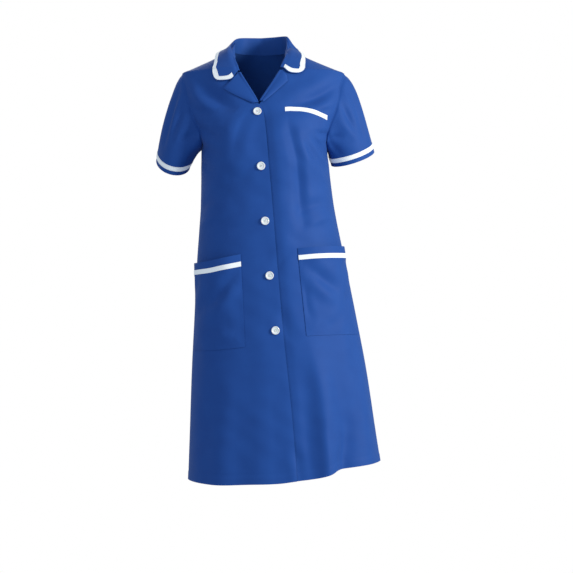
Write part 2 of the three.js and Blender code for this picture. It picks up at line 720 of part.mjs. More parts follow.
function revere(side) {
  const name = side < 0 ? "right" : "left";
  const points = REVERES[name].map((r) => {
    const edge = edgeOf[name](r.roll) - side * 0.5;
    const taper = ease((-r.roll - 50) / 20) * ease((150 + r.roll) / 18);
    const ride = FACED + GAP * 3 + (side < 0 ? LAP_RIDE : 0);
    const roll = [
      onFront(edge - side * (0.6 + ROLL_OUT * taper), r.roll, ride - 2 * taper),
      onFront(edge - side * (0.3 + ROLL_OUT * 0.55 * taper), r.roll, ride + taper),
    ];
    const flat = steps(5).map((t) => {
      const x = lerp(edge + side * 0.8, r.x, t);
      return onFront(x, lerp(r.roll, r.z, t), FACED + GAP * 3 + 1.1 * Math.sin(Math.PI * t));
    });
    return [...roll, ...flat];
  });
  return sheet(points, FACED, -side);
}

// ---- breast welt on the left front ----
const WELT = [
  { x: 54, z: -157.5 },
  { x: 70, z: -156 },
  { x: 86, z: -156 },
  { x: 100, z: -157.5 },
  { x: 114, z: -160.5 },
  { x: 127, z: -164 },
  { x: 139, z: -168 },
  { x: 150, z: -172 },
];

function weltBraid() {
  const lift = GAP * 2 + BRAID + 0.4;
  const points = WELT.map(({ x, z }) =>
    [0.5, 0, -0.5].map((t) => onFront(x, z + t * BRAID_WIDTH, lift)),
  );
  return sheet(points, BRAID + 0.4, -1);
}

// ---- patch pockets, wrapping the hips. mouth: its height from the inner end to the outer; stand: how far it gapes ----
const POCKETS = [
  { side: -1, inner: -46, mouth: [-487, -496, -504, -507, -508], stand: 14 },
  { side: 1, inner: 82, mouth: [-474, -471, -470, -470, -471], stand: 13 },
];

function pocketPlace(pocket, u, v, extra = 0) {
  const knots = pocket.mouth.map((z, i) => ({ u: i / (pocket.mouth.length - 1), z }));
  const top = reader(knots, "u", "z")(u);
  const foot = (pocket.mouth[0] + pocket.mouth[4]) / 2 - POCKET.depth;
  const z = lerp(top, lerp(foot, foot + top - pocket.mouth[0], 0.5), v);
  const start = angleAt(pocket.inner, top);
  const angle = angleAlong(start, z, pocket.side * (0.01 + POCKET.width * u));
  const gape = Math.sin(Math.PI * u) ** 0.8 * Math.max(0, 1 - v / 0.8) ** 1.3;
  const lap = pocket.side < 0 ? lapLift(angle, z) : 0;
  return bodyPoint(angle, z, GAP * 2 + POCKET.wall + lap + pocket.stand * gape + extra);
}

function pocketWall(pocket) {
  const points = steps(8).map((v) => steps(10).map((u) => pocketPlace(pocket, u, v)));
  return sheet(points, POCKET.wall, pocket.side);
}

function pocketBraid(pocket) {
  const rows = [POCKET_HEM, POCKET_HEM + BRAID_WIDTH / 2, POCKET_HEM + BRAID_WIDTH];
  const points = rows.map((mm) =>
    steps(10).map((u) => pocketPlace(pocket, u, mm / POCKET.depth, GAP * 2 + BRAID)),
  );
  return sheet(points, BRAID, pocket.side);
}

// ---- buttons: four-hole, with a raised rim round a dished face ----
const BUTTON_PROFILE = [
  { r: 0, z: 0 },
  { r: 0.8, z: 0 },
  { r: 0.94, z: 0.12 },
  { r: 1, z: 0.45 },
  { r: 0.96, z: 0.86 },
  { r: 0.86, z: 1 },
  { r: 0.74, z: 0.93 },
  { r: 0.62, z: 0.62 },
  { r: 0, z: 0.55 },
];

function button(n) {
  const z = BUTTON.first - n * BUTTON.step;
  const x = edgeOf.right(z) - BUTTON_INSETS[n];
  const angle = angleAt(x, z);
  const profile = BUTTON_PROFILE.map((p) => new THREE.Vector2(p.r * BUTTON.radius, p.z * BUTTON.thick));
  const turned = mergeVertices(new THREE.LatheGeometry(profile, 28).deleteAttribute("normal").deleteAttribute("uv"));
  const blank = solidOf(dropSlivers(turned));
  const holes = [0, 1, 2, 3].map((k) => {
    const turn = (k + 0.5) * (Math.PI / 2);
    const hole = new THREE.CylinderGeometry(BUTTON.hole, BUTTON.hole, BUTTON.thick * 3, 10);
    hole.translate(BUTTON.apart * Math.cos(turn), 0, BUTTON.apart * Math.sin(turn));
    return solidOf(mergeVertices(hole.deleteAttribute("normal").deleteAttribute("uv")));
  });
  const drilled = holes.reduce((solid, hole) => solid.subtract(hole), blank);
  const geometry = geometryOf(drilled);
  const normal = bodyNormal(angle, z);
  const seatPoint = onFront(x, z, 0.75);
  const turn = new THREE.Quaternion().setFromUnitVectors(V(0, 1, 0), normal);
  geometry.applyQuaternion(turn);
  geometry.translate(seatPoint.x, seatPoint.y, seatPoint.z);
  return geometry;
}

function dropSlivers(geometry) {
  const index = geometry.index.array;
  const kept = [];
  for (let i = 0; i < index.length; i += 3) {
    const [a, b, c] = [index[i], index[i + 1], index[i + 2]];
    if (a !== b && b !== c && c !== a) kept.push(a, b, c);
  }
  return geometry.setIndex(kept);
}

function solidOf(geometry) {
  const mesh = new wasm.Mesh({
    numProp: 3,
    vertProperties: new Float32Array(geometry.attributes.position.array),
    triVerts: new Uint32Array(geometry.index.array),
  });
  return new wasm.Manifold(mesh);
}

function geometryOf(solid) {
  const mesh = solid.getMesh();
  return new THREE.BufferGeometry()
    .setAttribute("position", new THREE.BufferAttribute(mesh.vertProperties, 3))
    .setIndex(new THREE.BufferAttribute(mesh.triVerts, 1));
}

// ---- group ----
const COLOURS = { cloth: 0x1f4690, braid: 0xf4f5f7, button: 0xf1f2f4 };
const materials = {
  cloth: new THREE.MeshStandardMaterial({ color: COLOURS.cloth, roughness: 0.75 }),
  braid: new THREE.MeshStandardMaterial({ color: COLOURS.braid, roughness: 0.7 }),
  button: new THREE.MeshStandardMaterial({ color: COLOURS.button, roughness: 0.3 }),
};
const dress = new THREE.Group();

function add(name, geometry, material) {
  const mesh = new THREE.Mesh(geometry, materials[material]);
  mesh.name = name;
  dress.add(mesh);
  return mesh;
}

add("front_right", panel(frontColumns(-1), -1, 1, lapLift), "cloth");
add("front_left", panel(frontColumns(1), 1, 1), "cloth");
add("back", panel(backColumns, 0, -1), "cloth");
sleeves.forEach((s, n) => {
  const name = s.side < 0 ? "right" : "left";
  add(`sleeve_${name}`, sleeveWall(s, n), "cloth");
  add(`sleeve_braid_${name}`, sleeveBraid(s), "braid");
});
add("collar", collarWall(), "cloth");
add("collar_braid", collarBraid(), "braid");
add("revere_right", revere(-1), "cloth");
add("revere_left", revere(1), "cloth");
add("breast_welt", weltBraid(), "braid");
POCKETS.forEach((pocket) => {
  const name = pocket.side < 0 ? "right" : "left";
  add(`pocket_${name}`, pocketWall(pocket), "cloth");
  add(`pocket_braid_${name}`, pocketBraid(pocket), "braid");
});
for (let n = 0; n < BUTTON.count; n++) add(`button_${n + 1}`, button(n), "button");

export default dress;
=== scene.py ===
# %% [markdown]
# # A nurse's uniform dress
# A button-through dress in royal blue polyester-cotton, as it is worn: the right front laps over the left, a revere
# collar opens above the top button, and white braid finishes the collar, the sleeves and the two patch pockets.
# Sizes are in millimetres until a mesh is made. +Z is up, -Y the front and +X the wearer's left.

# %%
import json
import math

import bpy
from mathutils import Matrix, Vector
import numpy as np

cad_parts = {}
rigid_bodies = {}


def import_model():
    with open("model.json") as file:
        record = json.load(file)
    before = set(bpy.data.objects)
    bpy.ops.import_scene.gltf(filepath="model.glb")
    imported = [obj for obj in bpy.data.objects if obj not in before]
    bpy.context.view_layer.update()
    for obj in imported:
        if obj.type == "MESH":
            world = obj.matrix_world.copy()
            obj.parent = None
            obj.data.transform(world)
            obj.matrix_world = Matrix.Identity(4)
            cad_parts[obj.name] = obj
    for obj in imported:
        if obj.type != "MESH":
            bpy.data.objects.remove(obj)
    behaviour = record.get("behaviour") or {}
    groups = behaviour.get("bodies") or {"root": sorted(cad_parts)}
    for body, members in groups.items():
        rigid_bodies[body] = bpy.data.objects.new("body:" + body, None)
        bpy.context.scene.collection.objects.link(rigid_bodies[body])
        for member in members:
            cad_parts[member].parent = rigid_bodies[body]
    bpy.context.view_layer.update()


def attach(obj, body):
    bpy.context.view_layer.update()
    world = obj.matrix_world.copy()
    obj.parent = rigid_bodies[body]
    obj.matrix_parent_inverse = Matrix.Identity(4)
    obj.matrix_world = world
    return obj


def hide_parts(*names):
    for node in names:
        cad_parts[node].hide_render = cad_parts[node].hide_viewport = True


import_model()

MM = 0.001
CLOTH = 0.5  # one layer of the body cloth
DOUBLE = 0.9  # collar, reveres and welt: two layers and their interlining
BRAID_WIDTH = 10.5
BRAID_INSET = 10  # from a sleeve's hem up to its braid
POCKET_HEM = 16  # from a pocket's mouth down to its braid
HEM_LEVEL = -1010
UNDERARM = -235
SHOULDER_TIP = -61
NECK_LEVEL = -8
LAP = 40
LAP_RIDE = 2.4
BUTTON = {"radius": 9.5, "thick": 3.2, "first": -164, "step": 124, "count": 5}
BUTTON_INSETS = (14, 18, 19.5, 19.5, 17)
POCKET = {"width": 158, "depth": 200, "stand_off": 1.25}


# %% [markdown]
# ## The worn form
# The cut gives the dress its girth at each height: shoulders, bust, a lightly shaped waist and an A-line skirt.
# The wearer stands with the hips to one side, so the skirt's middle moves across as it goes down.

# %%
def table(columns, rows):
    values = np.array(rows, dtype=float)
    return {name: values[:, i] for i, name in enumerate(columns.split())}


FORM = table(
    "z left right front back side full",
    [
        (12, -34, 24, -36, 46, 2, 2.0),
        (-8, -74, 69, -52, 66, 2, 2.0),
        (-34, -127, 127, -68, 84, 3, 1.95),
        (-54, -172, 176, -79, 95, 4, 1.95),
        (-61, -188, 194, -83, 98, 4, 1.95),
        (-100, -194, 200, -96, 109, 5, 2.1),
        (-145, -186, 193, -109, 116, 6, 2.25),
        (-192, -164, 172, -124, 117, 5, 2.3),
        (-235, -142, 153, -131, 114, 4, 2.35),
        (-288, -142, 158, -131, 109, 2, 2.35),
        (-362, -143, 167, -126, 104, 0, 2.3),
        (-503, -152, 195, -129, 115, 0, 2.25),
        (-616, -157.5, 218, -135, 127, 0, 2.2),
        (-757, -164.5, 245, -143, 138, -1, 2.15),
        (-898, -169, 266.5, -151, 149, -2, 2.1),
        (-1010, -173, 284.5, -157, 157, -2, 2.1),
        (-1070, -175, 293.5, -160, 161, -2, 2.1),
    ],
)
ARMHOLE = table(
    "z share",
    [(-61, 1), (-72, 0.955), (-100, 0.905), (-150, 0.885), (-192, 0.905), (-223, 0.955), (-235, 1)],
)
FRONT_EDGE = table(
    "z right left",
    [
        (-8, -72.5, 67.5),
        (-16, -73, 66),
        (-30, -70, 62),
        (-52, -62, 53),
        (-77, -48.5, 39),
        (-120, -22.5, 12),
        (-143, -8.5, -3),
        (-152, 2.5, -10),
        (-190, 9, -31),
        (-292, 18.5, -21.5),
        (-379, 26, -14),
        (-538, 39, -1),
        (-663, 50, 10),
        (-835, 68, 28),
        (-938, 77, 37),
        (-1053, 84, 44),
        (-1110, 87, 47),
    ],
)
HEM_FRONT = table(
    "x z",
    [
        (-173, -1010),
        (-113, -1012),
        (-20, -1007),
        (41, -1004),
        (79, -999),
        (128, -993),
        (158, -985),
        (176, -977),
        (216, -972),
        (281, -967),
    ],
)


def ease(t):
    t = np.clip(t, 0, 1)
    return t * t * (3 - 2 * t)


def lerp(a, b, t):
    return a + (b - a) * t


def reader(source, key, column):
    """A smooth curve through one column of a table, which never overshoots its rows."""
    order = np.argsort(source[key])
    x, y = source[key][order], source[column][order]
    h = np.diff(x)
    slope = np.diff(y) / h
    before, after = np.r_[slope[0], slope], np.r_[slope, slope[-1]]
    total = np.where(before * after > 0, before + after, 1)
    tangent = np.where(before * after > 0, 2 * before * after / total, 0)

    def at(q):
        q = np.clip(q, x[0], x[-1])
        i = np.clip(np.searchsorted(x, q) - 1, 0, len(h) - 1)
        t = (q - x[i]) / h[i]
        bend = h[i] * t * (1 - t)
        swing = (1 - t) * (tangent[i] - slope[i]) - t * (tangent[i + 1] - slope[i])
        return lerp(y[i], y[i + 1], t) + bend * swing

    return at


form = {c: reader(FORM, "z", c) for c in ("left", "right", "front", "back", "side", "full")}
arm_share = reader(ARMHOLE, "z", "share")
edge_of = {-1: reader(FRONT_EDGE, "z", "right"), 1: reader(FRONT_EDGE, "z", "left")}
hem_front = reader(HEM_FRONT, "x", "z")


def section(z):
    left, right, side = form["left"](z), form["right"](z), form["side"](z)
    fore, aft = side - form["front"](z), form["back"](z) - side
    return (left + right) / 2, (right - left) / 2, side, fore, aft, form["full"](z)


# %% [markdown]
# ## Folds and creases
# Cloth that hangs from the bust and shoulders falls in long soft flares. It drags from the underarm towards the bust,
# breaks at the waist, and is pulled flat under each button. Every line here has its own length, width and depth.

# %%
FOLDS = table(
    "face x0 z0 x1 z1 bow wide rise",
    [
        (1, 76, -215, 82, -262, 0, 46, 11),
        (1, -68, -215, -66, -262, 0, 46, 10),
        (1, 60, -215, 96, -420, 0, 17, -6),
        (1, 124, -650, 164, -1060, 0, 26, 8),
        (1, 205, -780, 190, -1060, 0, 20, -9),
        (1, 98, -700, 112, -1060, 0, 18, -4),
        (1, -95, -760, -100, -1060, 0, 30, 5),
        (-1, -60, -560, -88, -1060, 0, 30, 9),
        (-1, 0, -640, 12, -1060, 0, 26, -7),
        (-1, 74, -540, 130, -1060, 0, 30, 10),
        (-1, -6, -270, 8, -420, 0, 34, -7),
    ],
)
CREASES = table(
    "face x0 z0 x1 z1 bow wide rise",
    [
        (1, 60, -190, 92, -390, 7, 9, -4.4),
        (1, 92, -226, 150, -298, -5, 8, -4.6),
        (1, 108, -214, 158, -262, -4, 6, -2.6),
        (1, 120, -262, 156, -330, -6, 9, 1.6),
        (1, 190, -80, 58, -150, 12, 15, -7.4),
        (1, 172, -112, 92, -150, 10, 11, 4.2),
        (1, -152, -78, -52, -158, -13, 15, -7.4),
        (1, -160, -112, -98, -150, -9, 11, 4.2),
        (1, -160, -150, -108, -162, -4, 5.5, -2.8),
        (1, -160, -186, -88, -214, -7, 9, -5.0),
        (1, -152, -212, -98, -262, -8, 10, -4.2),
        (1, -146, -240, -112, -300, -6, 9, -2.8),
        (1, -128, -206, -84, -218, 3, 5, 1.8),
        (1, 158, -150, 124, -158, 3, 5.5, -2.2),
        (1, 156, -204, 118, -206, 4, 6, -2.6),
        (1, -30, -168, -58, -262, -6, 11, -2.6),
        (1, -22, -290, -64, -322, 6, 12, -1.8),
        (1, -8, -408, -78, -430, 8, 14, -2.2),
        (1, -110, -360, -148, -392, -6, 9, -2.8),
        (1, -92, -398, -146, -428, -7, 8, 2.1),
        (1, -70, -330, -142, -346, 9, 13, -2.3),
        (1, 84, -396, 158, -372, 8, 11, -3.8),
        (1, 100, -430, 170, -402, 7, 9, 2.4),
        (1, 60, -440, 120, -462, -6, 12, -2.0),
        (1, 34, -520, 78, -476, 5, 10, -1.8),
        (1, 46, -610, 80, -690, -8, 12, -2.4),
        (1, 100, -630, 152, -1000, 10, 21, 5.2),
        (1, 160, -720, 196, -1010, 5, 15, -3.0),
        (1, 70, -902, 92, -1016, 3, 9, -2.4),
        (1, 176, -905, 182, -1014, 0, 12, -5.4),
        (1, 150, -840, 158, -1016, 4, 9, -3.0),
        (1, 222, -700, 244, -1020, 6, 17, 4.0),
        (1, 205, -640, 214, -760, 6, 12, -2.6),
        (1, -14, -812, -8, -1016, 5, 20, 1.3),
        (1, -40, -700, -52, -1010, -6, 22, -1.4),
        (1, -100, -716, -118, -1030, -6, 22, -1.3),
        (1, -134, -760, -148, -1016, -4, 18, 1.4),
        (1, 20, -760, 34, -1016, 4, 14, -0.9),
        (1, -150, -620, -158, -820, -4, 12, -2.4),
        (-1, 160, -112, 70, -150, -10, 14, -4.0),
        (-1, -158, -110, -72, -152, 10, 13, -3.8),
        (-1, -156, -178, -84, -196, 8, 8, -3.0),
        (-1, 158, -186, 96, -212, -7, 8, -3.3),
        (-1, 150, -226, 104, -268, -8, 8, -2.8),
        (-1, -146, -224, -110, -270, 7, 9, -2.9),
        (-1, -118, -300, -36, -352, 11, 13, -2.8),
        (-1, 132, -318, 46, -366, -12, 14, -3.1),
        (-1, -128, -388, -44, -402, 8, 9, -3.4),
        (-1, 150, -396, 60, -412, -9, 10, -3.0),
        (-1, -104, -428, -24, -420, -6, 12, 2.8),
        (-1, 128, -436, 40, -430, 7, 12, 2.6),
        (-1, -96, -470, 2, -488, -9, 15, -2.2),
        (-1, 60, -480, 150, -500, 8, 14, -2.4),
        (-1, -128, -640, -146, -1016, 8, 15, -4.0),
        (-1, -106, -820, -112, -1016, -5, 10, 3.2),
        (-1, -30, -700, -34, -1016, 5, 14, 4.2),
        (-1, 44, -660, 62, -1016, -8, 14, -4.6),
        (-1, 96, -860, 104, -1016, 4, 10, -3.6),
        (-1, 176, -620, 214, -1010, 9, 17, -5.0),
        (-1, 150, -800, 168, -1016, -4, 12, 3.6),
    ],
)


def along_line(x, z, row):
    """Where a place is along one line of a table, from 0 to 1, and how far from it, in millimetres."""
    dx, dz = row["x1"] - row["x0"], row["z1"] - row["z0"]
    length = math.hypot(dx, dz)
    t = ((x - row["x0"]) * dx + (z - row["z0"]) * dz) / length**2
    inside = np.clip(t, 0, 1)
    bow = 4 * inside * (1 - inside) * row["bow"] / length
    away_x = x - (row["x0"] + dx * inside - dz * bow)
    away_z = z - (row["z0"] + dz * inside + dx * bow)
    side = np.sign(away_x * dz - away_z * dx)
    return inside, np.hypot(away_x, away_z), side


def rows_of(source):
    return [dict(zip(source, values)) for values in zip(*source.values())]


def pushed(x, z, face):
    push = np.zeros(np.broadcast(x, z).shape)
    for row in rows_of(FOLDS):
        t, away, _ = along_line(x, z, row)
        grow = ease(t * 1.6) if row["z1"] < HEM_LEVEL else 1
        push += np.where(face == row["face"], row["rise"] * grow * np.exp(-((away / row["wide"]) ** 2)), 0)
    for row in rows_of(CREASES):
        t, away, side = along_line(x, z, row)
        to_hem = row["z1"] < -970
        taper = ease(t * 2.2) if to_hem else np.sin(np.pi * np.clip(t * 0.9 + 0.06, 0, 1)) ** 0.8
        sharp = away / (row["wide"] * np.where(side > 0, 0.8, 1.35))
        lip = 0.32 * np.exp(-(((away - 2.1 * row["wide"]) / row["wide"]) ** 2))
        push += np.where(face == row["face"], row["rise"] * taper * (np.exp(-(sharp**2)) - lip), 0)
    waves = (
        0.5 * np.sin(x / 17 + 1.3 * np.sin(z / 61))
        + 0.45 * np.sin(z / 23 + 1.7 * np.sin(x / 37 + 0.6))
        + 0.35 * np.sin((x + z) / 11.5 + 2 * np.sin(z / 47))
    )
    return push + waves * 0.7


def plain(angle, z, of=section):
    centre, half, side, fore, aft, full = of(z)
    sin, cos = np.sin(angle), np.cos(angle)
    depth = np.where(cos > 0, fore, aft)
    reach = ((np.abs(sin) / half) ** full + (np.abs(cos) / depth) ** full) ** (-1 / full)
    return np.stack([centre + reach * sin, side - reach * cos, z + 0 * angle], -1)


def unit(v):
    return v / np.maximum(np.linalg.norm(v, axis=-1, keepdims=True), 1e-9)


def plain_normal(angle, z):
    angle, z = np.broadcast_arrays(np.asarray(angle, float), np.asarray(z, float))
    round_it = plain(angle + 0.01, z) - plain(angle - 0.01, z)
    up = plain(angle, z + 1) - plain(angle, z - 1)
    return unit(np.cross(round_it, up))


def body(angle, z, lift=0.0):
    """A place on the worn form, with its folds, lifted this far off it."""
    angle, z = np.broadcast_arrays(np.asarray(angle, float), np.asarray(z, float))
    p = plain(angle, z)
    face = np.where(np.cos(angle) > 0, 1, -1)
    flank = ease(np.abs(np.cos(angle)) * 2.5)
    push = pushed(p[..., 0], z, face) * flank + lift
    beside = p[..., 0] - edge_of[-1](z)
    below = ease((BUTTON["first"] + 10 - z) / 30) * (face > 0)
    beside = np.clip(beside, 0, 200)
    push = push + 6.0 * (1 - np.exp(-beside / 13)) * np.exp(-((beside / 62) ** 2)) * below
    return p + plain_normal(angle, z) * np.asarray(push)[..., None]


def body_normal(angle, z):
    round_it = body(angle + 0.02, z) - body(angle - 0.02, z)
    up = body(angle, z + 2) - body(angle, z - 2)
    return unit(np.cross(round_it, up))


def angle_at(x, z, face=1):
    centre, half, side, fore, aft, full = section(z)
    share = np.clip((x - centre) / half, -1, 1)
    depth = (fore if face > 0 else aft) * (1 - np.abs(share) ** full) ** (1 / full)
    return np.arctan2(share * half, face * depth)


def angle_along(angle, z, distance, side):
    """From an angle, this far round the form at that height."""
    angle, z, distance = np.broadcast_arrays(angle, z, distance)
    at, gone, step = angle.copy(), np.zeros(angle.shape), side * 0.01
    for _ in range(260):
        moved = np.linalg.norm(plain(at, z) - plain(at + step, z), axis=-1)
        share = np.clip((distance - gone) / moved, 0, 1)
        at = at + step * share
        gone = gone + moved * share
    return at


# %% [markdown]
# ## Making cloth
# Each piece is a grid of places on its outer face. A second face lies one thickness further in, and a narrow
# turned edge joins them, so that every piece is a closed sheet as thin as the real cloth.

# %%
def hex_colour(text):
    """An sRGB hex colour, made linear."""
    parts = [int(text[i : i + 2], 16) / 255 for i in (1, 3, 5)]
    linear = [p / 12.92 if p <= 0.04045 else ((p + 0.055) / 1.055) ** 2.4 for p in parts]
    return (*linear, 1.0)


def grid_normals(p, ring=False):
    if ring:
        q = np.concatenate([p[:, -1:], p, p[:, :1]], 1)
        across = (q[:, 2:] - q[:, :-2]) / 2
    else:
        across = np.gradient(p, axis=1)
    down = np.gradient(p, axis=0)
    return unit(np.cross(down, across))


def new_mesh(name, points, faces, uv=None, sharp=40):
    mesh = bpy.data.meshes.new(name)
    mesh.from_pydata((np.asarray(points) * MM).tolist(), [], faces)
    if uv is not None:
        layer = mesh.uv_layers.new(name="cloth_mm")
        index = np.empty(len(mesh.loops), dtype=np.int32)
        mesh.loops.foreach_get("vertex_index", index)
        layer.data.foreach_set("uv", np.asarray(uv, dtype=np.float32)[index].ravel())
    mesh.polygons.foreach_set("use_smooth", [True] * len(mesh.polygons))
    mesh.set_sharp_from_angle(angle=math.radians(sharp))
    mesh.update()
    made = bpy.data.objects.new(name, mesh)
    bpy.context.scene.collection.objects.link(made)
    return made


def sheet(name, p, thick, flip=False, ring=False, normals=None):
    """A closed thin sheet from a grid of places. flip: the grid's own normals point to the inside."""
    n = grid_normals(p, ring) if normals is None else normals
    if flip:
        n = -n
    rows, columns = p.shape[:2]
    outer = np.arange(rows * columns).reshape(rows, columns)
    inner = outer + rows * columns
    if ring:
        outer = np.c_[outer, outer[:, :1]]
        inner = np.c_[inner, inner[:, :1]]

    def quads(a, b, c, d):
        return np.stack([a.ravel(), b.ravel(), c.ravel(), d.ravel()], 1)

    faces = [
        quads(outer[:-1, :-1], outer[1:, :-1], outer[1:, 1:], outer[:-1, 1:]),
        quads(inner[:-1, :-1], inner[:-1, 1:], inner[1:, 1:], inner[1:, :-1]),
        quads(outer[0, :-1], outer[0, 1:], inner[0, 1:], inner[0, :-1]),
        quads(outer[-1, :-1], inner[-1, :-1], inner[-1, 1:], outer[-1, 1:]),
    ]
    if not ring:
        faces.append(quads(outer[:-1, 0], inner[:-1, 0], inner[1:, 0], outer[1:, 0]))
        faces.append(quads(outer[:-1, -1], outer[1:, -1], inner[1:, -1], inner[:-1, -1]))
    faces = np.concatenate(faces)
    if flip:
        faces = faces[:, ::-1]
    points = np.concatenate([p.reshape(-1, 3), (p - n * thick).reshape(-1, 3)])
    wide = np.linalg.norm(np.diff(p, axis=1), axis=-1).mean(0)
    tall = np.linalg.norm(np.diff(p, axis=0), axis=-1).mean(1)
    u = np.tile(np.r_[0, np.cumsum(wide)], (rows, 1))
    v = np.tile(np.r_[0, np.cumsum(tall)][:, None], (1, columns))
    uv = np.stack([u, v], -1).reshape(-1, 2)
    return new_mesh(name, points, faces.tolist(), np.concatenate([uv, uv]))


# %% [markdown]
# ## Fronts and back
# The two fronts and the one-piece back share their rows, so that the side and shoulder seams and the armholes meet.
# The right front rides over the left one, and its edge stands off a little between one button and the next.

# %%
ARM_ROWS = SHOULDER_TIP + (UNDERARM - SHOULDER_TIP) * (1 - np.cos(np.linspace(0, np.pi, 64))) / 2
ROWS = np.r_[
    np.linspace(NECK_LEVEL, SHOULDER_TIP, 26)[:-1],
    ARM_ROWS,
    np.linspace(UNDERARM, HEM_LEVEL, 184)[1:],
]


def row_height(row, angle):
    """A row's own height at an angle: the lower rows share out the hem's lift."""
    x = plain(angle, HEM_LEVEL + 0 * angle)[..., 0]
    evenly = lerp(hem_front(-173), hem_front(281), ease((x + 173) / 454))
    lift = np.where(np.cos(angle) > 0, hem_front(x), evenly) - HEM_LEVEL
    share = np.clip((-520 - row) / (-520 - HEM_LEVEL), 0, 1)
    return row + lift * share**1.5


def outer_angle(row, side, face):
    """The armhole's edge, or the side or shoulder seam where there is no armhole."""
    centre, half, y, fore, aft, full = section(row)
    share = arm_share(row)
    depth = (fore if face > 0 else aft) * (1 - share**full) ** (1 / full)
    angle = np.arctan2(side * share * half, face * depth)
    return np.where((row > SHOULDER_TIP) | (row < UNDERARM), side * np.pi / 2, angle)


def outwards(count, row, start, outer):
    """Even steps out to a panel's edge, of which the last few take up the armhole's curve."""
    sign = np.sign(outer)
    past = np.where(np.abs(outer) > np.pi / 2, np.pi - 1.12, 1.12)
    calm = lerp(sign * past, sign * np.pi / 2, ease((-150 - row) / 320))
    inside = np.where(np.abs(calm - start) < np.abs(outer - start), calm, outer)
    t = np.linspace(0, 1, count)
    knee = lerp(start, inside, 0.625)
    near = lerp(start[:, None], knee[:, None], np.clip(t / 0.625, 0, 1))
    far = lerp(knee[:, None], outer[:, None], np.clip((t - 0.625) / 0.375, 0, 1))
    return np.where(t < 0.625, near, far)


def gape(z):
    """How far the free edge stands up between two buttons."""
    turn = (BUTTON["first"] - z) / BUTTON["step"]
    fastened = (z < BUTTON["first"]) & (turn < BUTTON["count"] - 1)
    below = ease((turn - BUTTON["count"] + 1) * 0.8) * (0.55 + 0.25 * np.sin(z / 60))
    uneven = 0.75 + 0.25 * np.sin(z / 53)
    return np.where(fastened, np.sin(np.pi * np.clip(turn, 0, 9)) ** 2 * 0.5 * uneven, below * 0.9)


def lap_lift(x, z):
    away = edge_of[-1](z) - x
    ride = LAP_RIDE * (1 - ease((away - LAP - 4) / 50)) * (1 - ease((z + 110) / 50))
    return ride + 2.6 * gape(z) * np.exp(-((away / 15) ** 2)) * (z < -150)


def front_angles(side):
    edge, other = edge_of[side](ROWS), edge_of[-side](ROWS)
    far = np.where((other - edge) * side > 8, other, edge + side * 8)
    outer = outer_angle(ROWS, side, 1)
    start, reach = angle_at(edge, ROWS), angle_at(far, ROWS)
    limit = np.where((reach - outer) * side < 0, reach, lerp(start, outer, 0.3))
    lap = lerp(start[:, None], limit[:, None], np.linspace(0, 1, 23)[:-1])
    return np.concatenate([lap, outwards(74, ROWS, limit, outer)], 1)


def seam_dip(count, ends, width=3.0, depth=0.8):
    """A seam draws the cloth in beside it: how far, for each column."""
    column = np.arange(count)
    dip = np.zeros(count)
    if ends[0]:
        dip -= depth * np.exp(-((column / width) ** 2))
    if ends[1]:
        dip -= depth * np.exp(-(((count - 1 - column) / width) ** 2))
    return dip


def hem_turn(row):
    """The hem is turned up twice: the two extra layers show as a slight ridge along their stitched top."""
    above = row - HEM_LEVEL
    return 0.5 * (1 - ease((above - 19) / 2)) - 0.5 * np.exp(-(((above - 20) / 1.6) ** 2))


def front(side):
    angle = front_angles(side)
    row = ROWS[:, None] + 0 * angle
    z = row_height(row, angle)
    x = plain(angle, z)[..., 0]
    lift = lap_lift(x, z) if side < 0 else -0.8 * np.exp(-(((x - edge_of[-1](z)) - 8) ** 2) / 70)
    lift = lift + seam_dip(angle.shape[1], (False, True)) + hem_turn(row)
    return body(angle, z, lift)


def back():
    left = outwards(86, ROWS, np.full(ROWS.shape, np.pi), outer_angle(ROWS, 1, -1)) - 2 * np.pi
    right = outwards(86, ROWS, np.full(ROWS.shape, -np.pi), outer_angle(ROWS, -1, -1))
    angle = np.concatenate([right[:, ::-1], left[:, 1:]], 1)
    row = ROWS[:, None] + 0 * angle
    lift = seam_dip(angle.shape[1], (True, True)) + hem_turn(row)
    return body(angle, row_height(row, angle), lift)


made = {}
made["front_right"] = sheet("dress_front_right", front(-1), CLOTH)
made["front_left"] = sheet("dress_front_left", front(1), CLOTH, flip=True)
made["back"] = sheet("dress_back", back(), CLOTH, flip=False)

# %% [markdown]
# ## Sleeves
# Short set-in sleeves run from the armhole to a tilted oval hem. Their underside is short, and the head stands out
# over the shoulder before it falls.

# %%
SLEEVES = {
    -1: {"centre": (-210, 18, -270), "out": (-40, 0, 9), "fore": (0, -58, -31), "cap": (-74, 0, -115)},
    1: {"centre": (214, 18, -258), "out": (51, 0, 16), "fore": (0, -52, -16), "cap": (112, 0, -112)},
}
SLEEVE_CREASES = table(
    "turn0 t0 turn1 t1 wide rise",
    [
        (0.5, 0.1, 0.7, 0.8, 0.16, -4.4),
        (1.15, 0.05, 1.0, 0.62, 0.14, -4.8),
        (1.7, 0.12, 1.25, 0.72, 0.15, 2.6),
        (2.2, 0.1, 1.5, 0.5, 0.13, -2.8),
        (-0.35, 0.08, -0.5, 0.75, 0.18, -2.6),
        (-1.1, 0.1, -0.95, 0.7, 0.16, -4.4),
        (-1.9, 0.08, -1.3, 0.6, 0.14, -3.0),
        (-2.4, 0.15, -1.9, 0.8, 0.15, 2.2),
        (2.7, 0.1, 2.3, 0.85, 0.16, -2.2),
        (0.1, 0.3, 0.15, 0.95, 0.2, 1.8),
    ],
)


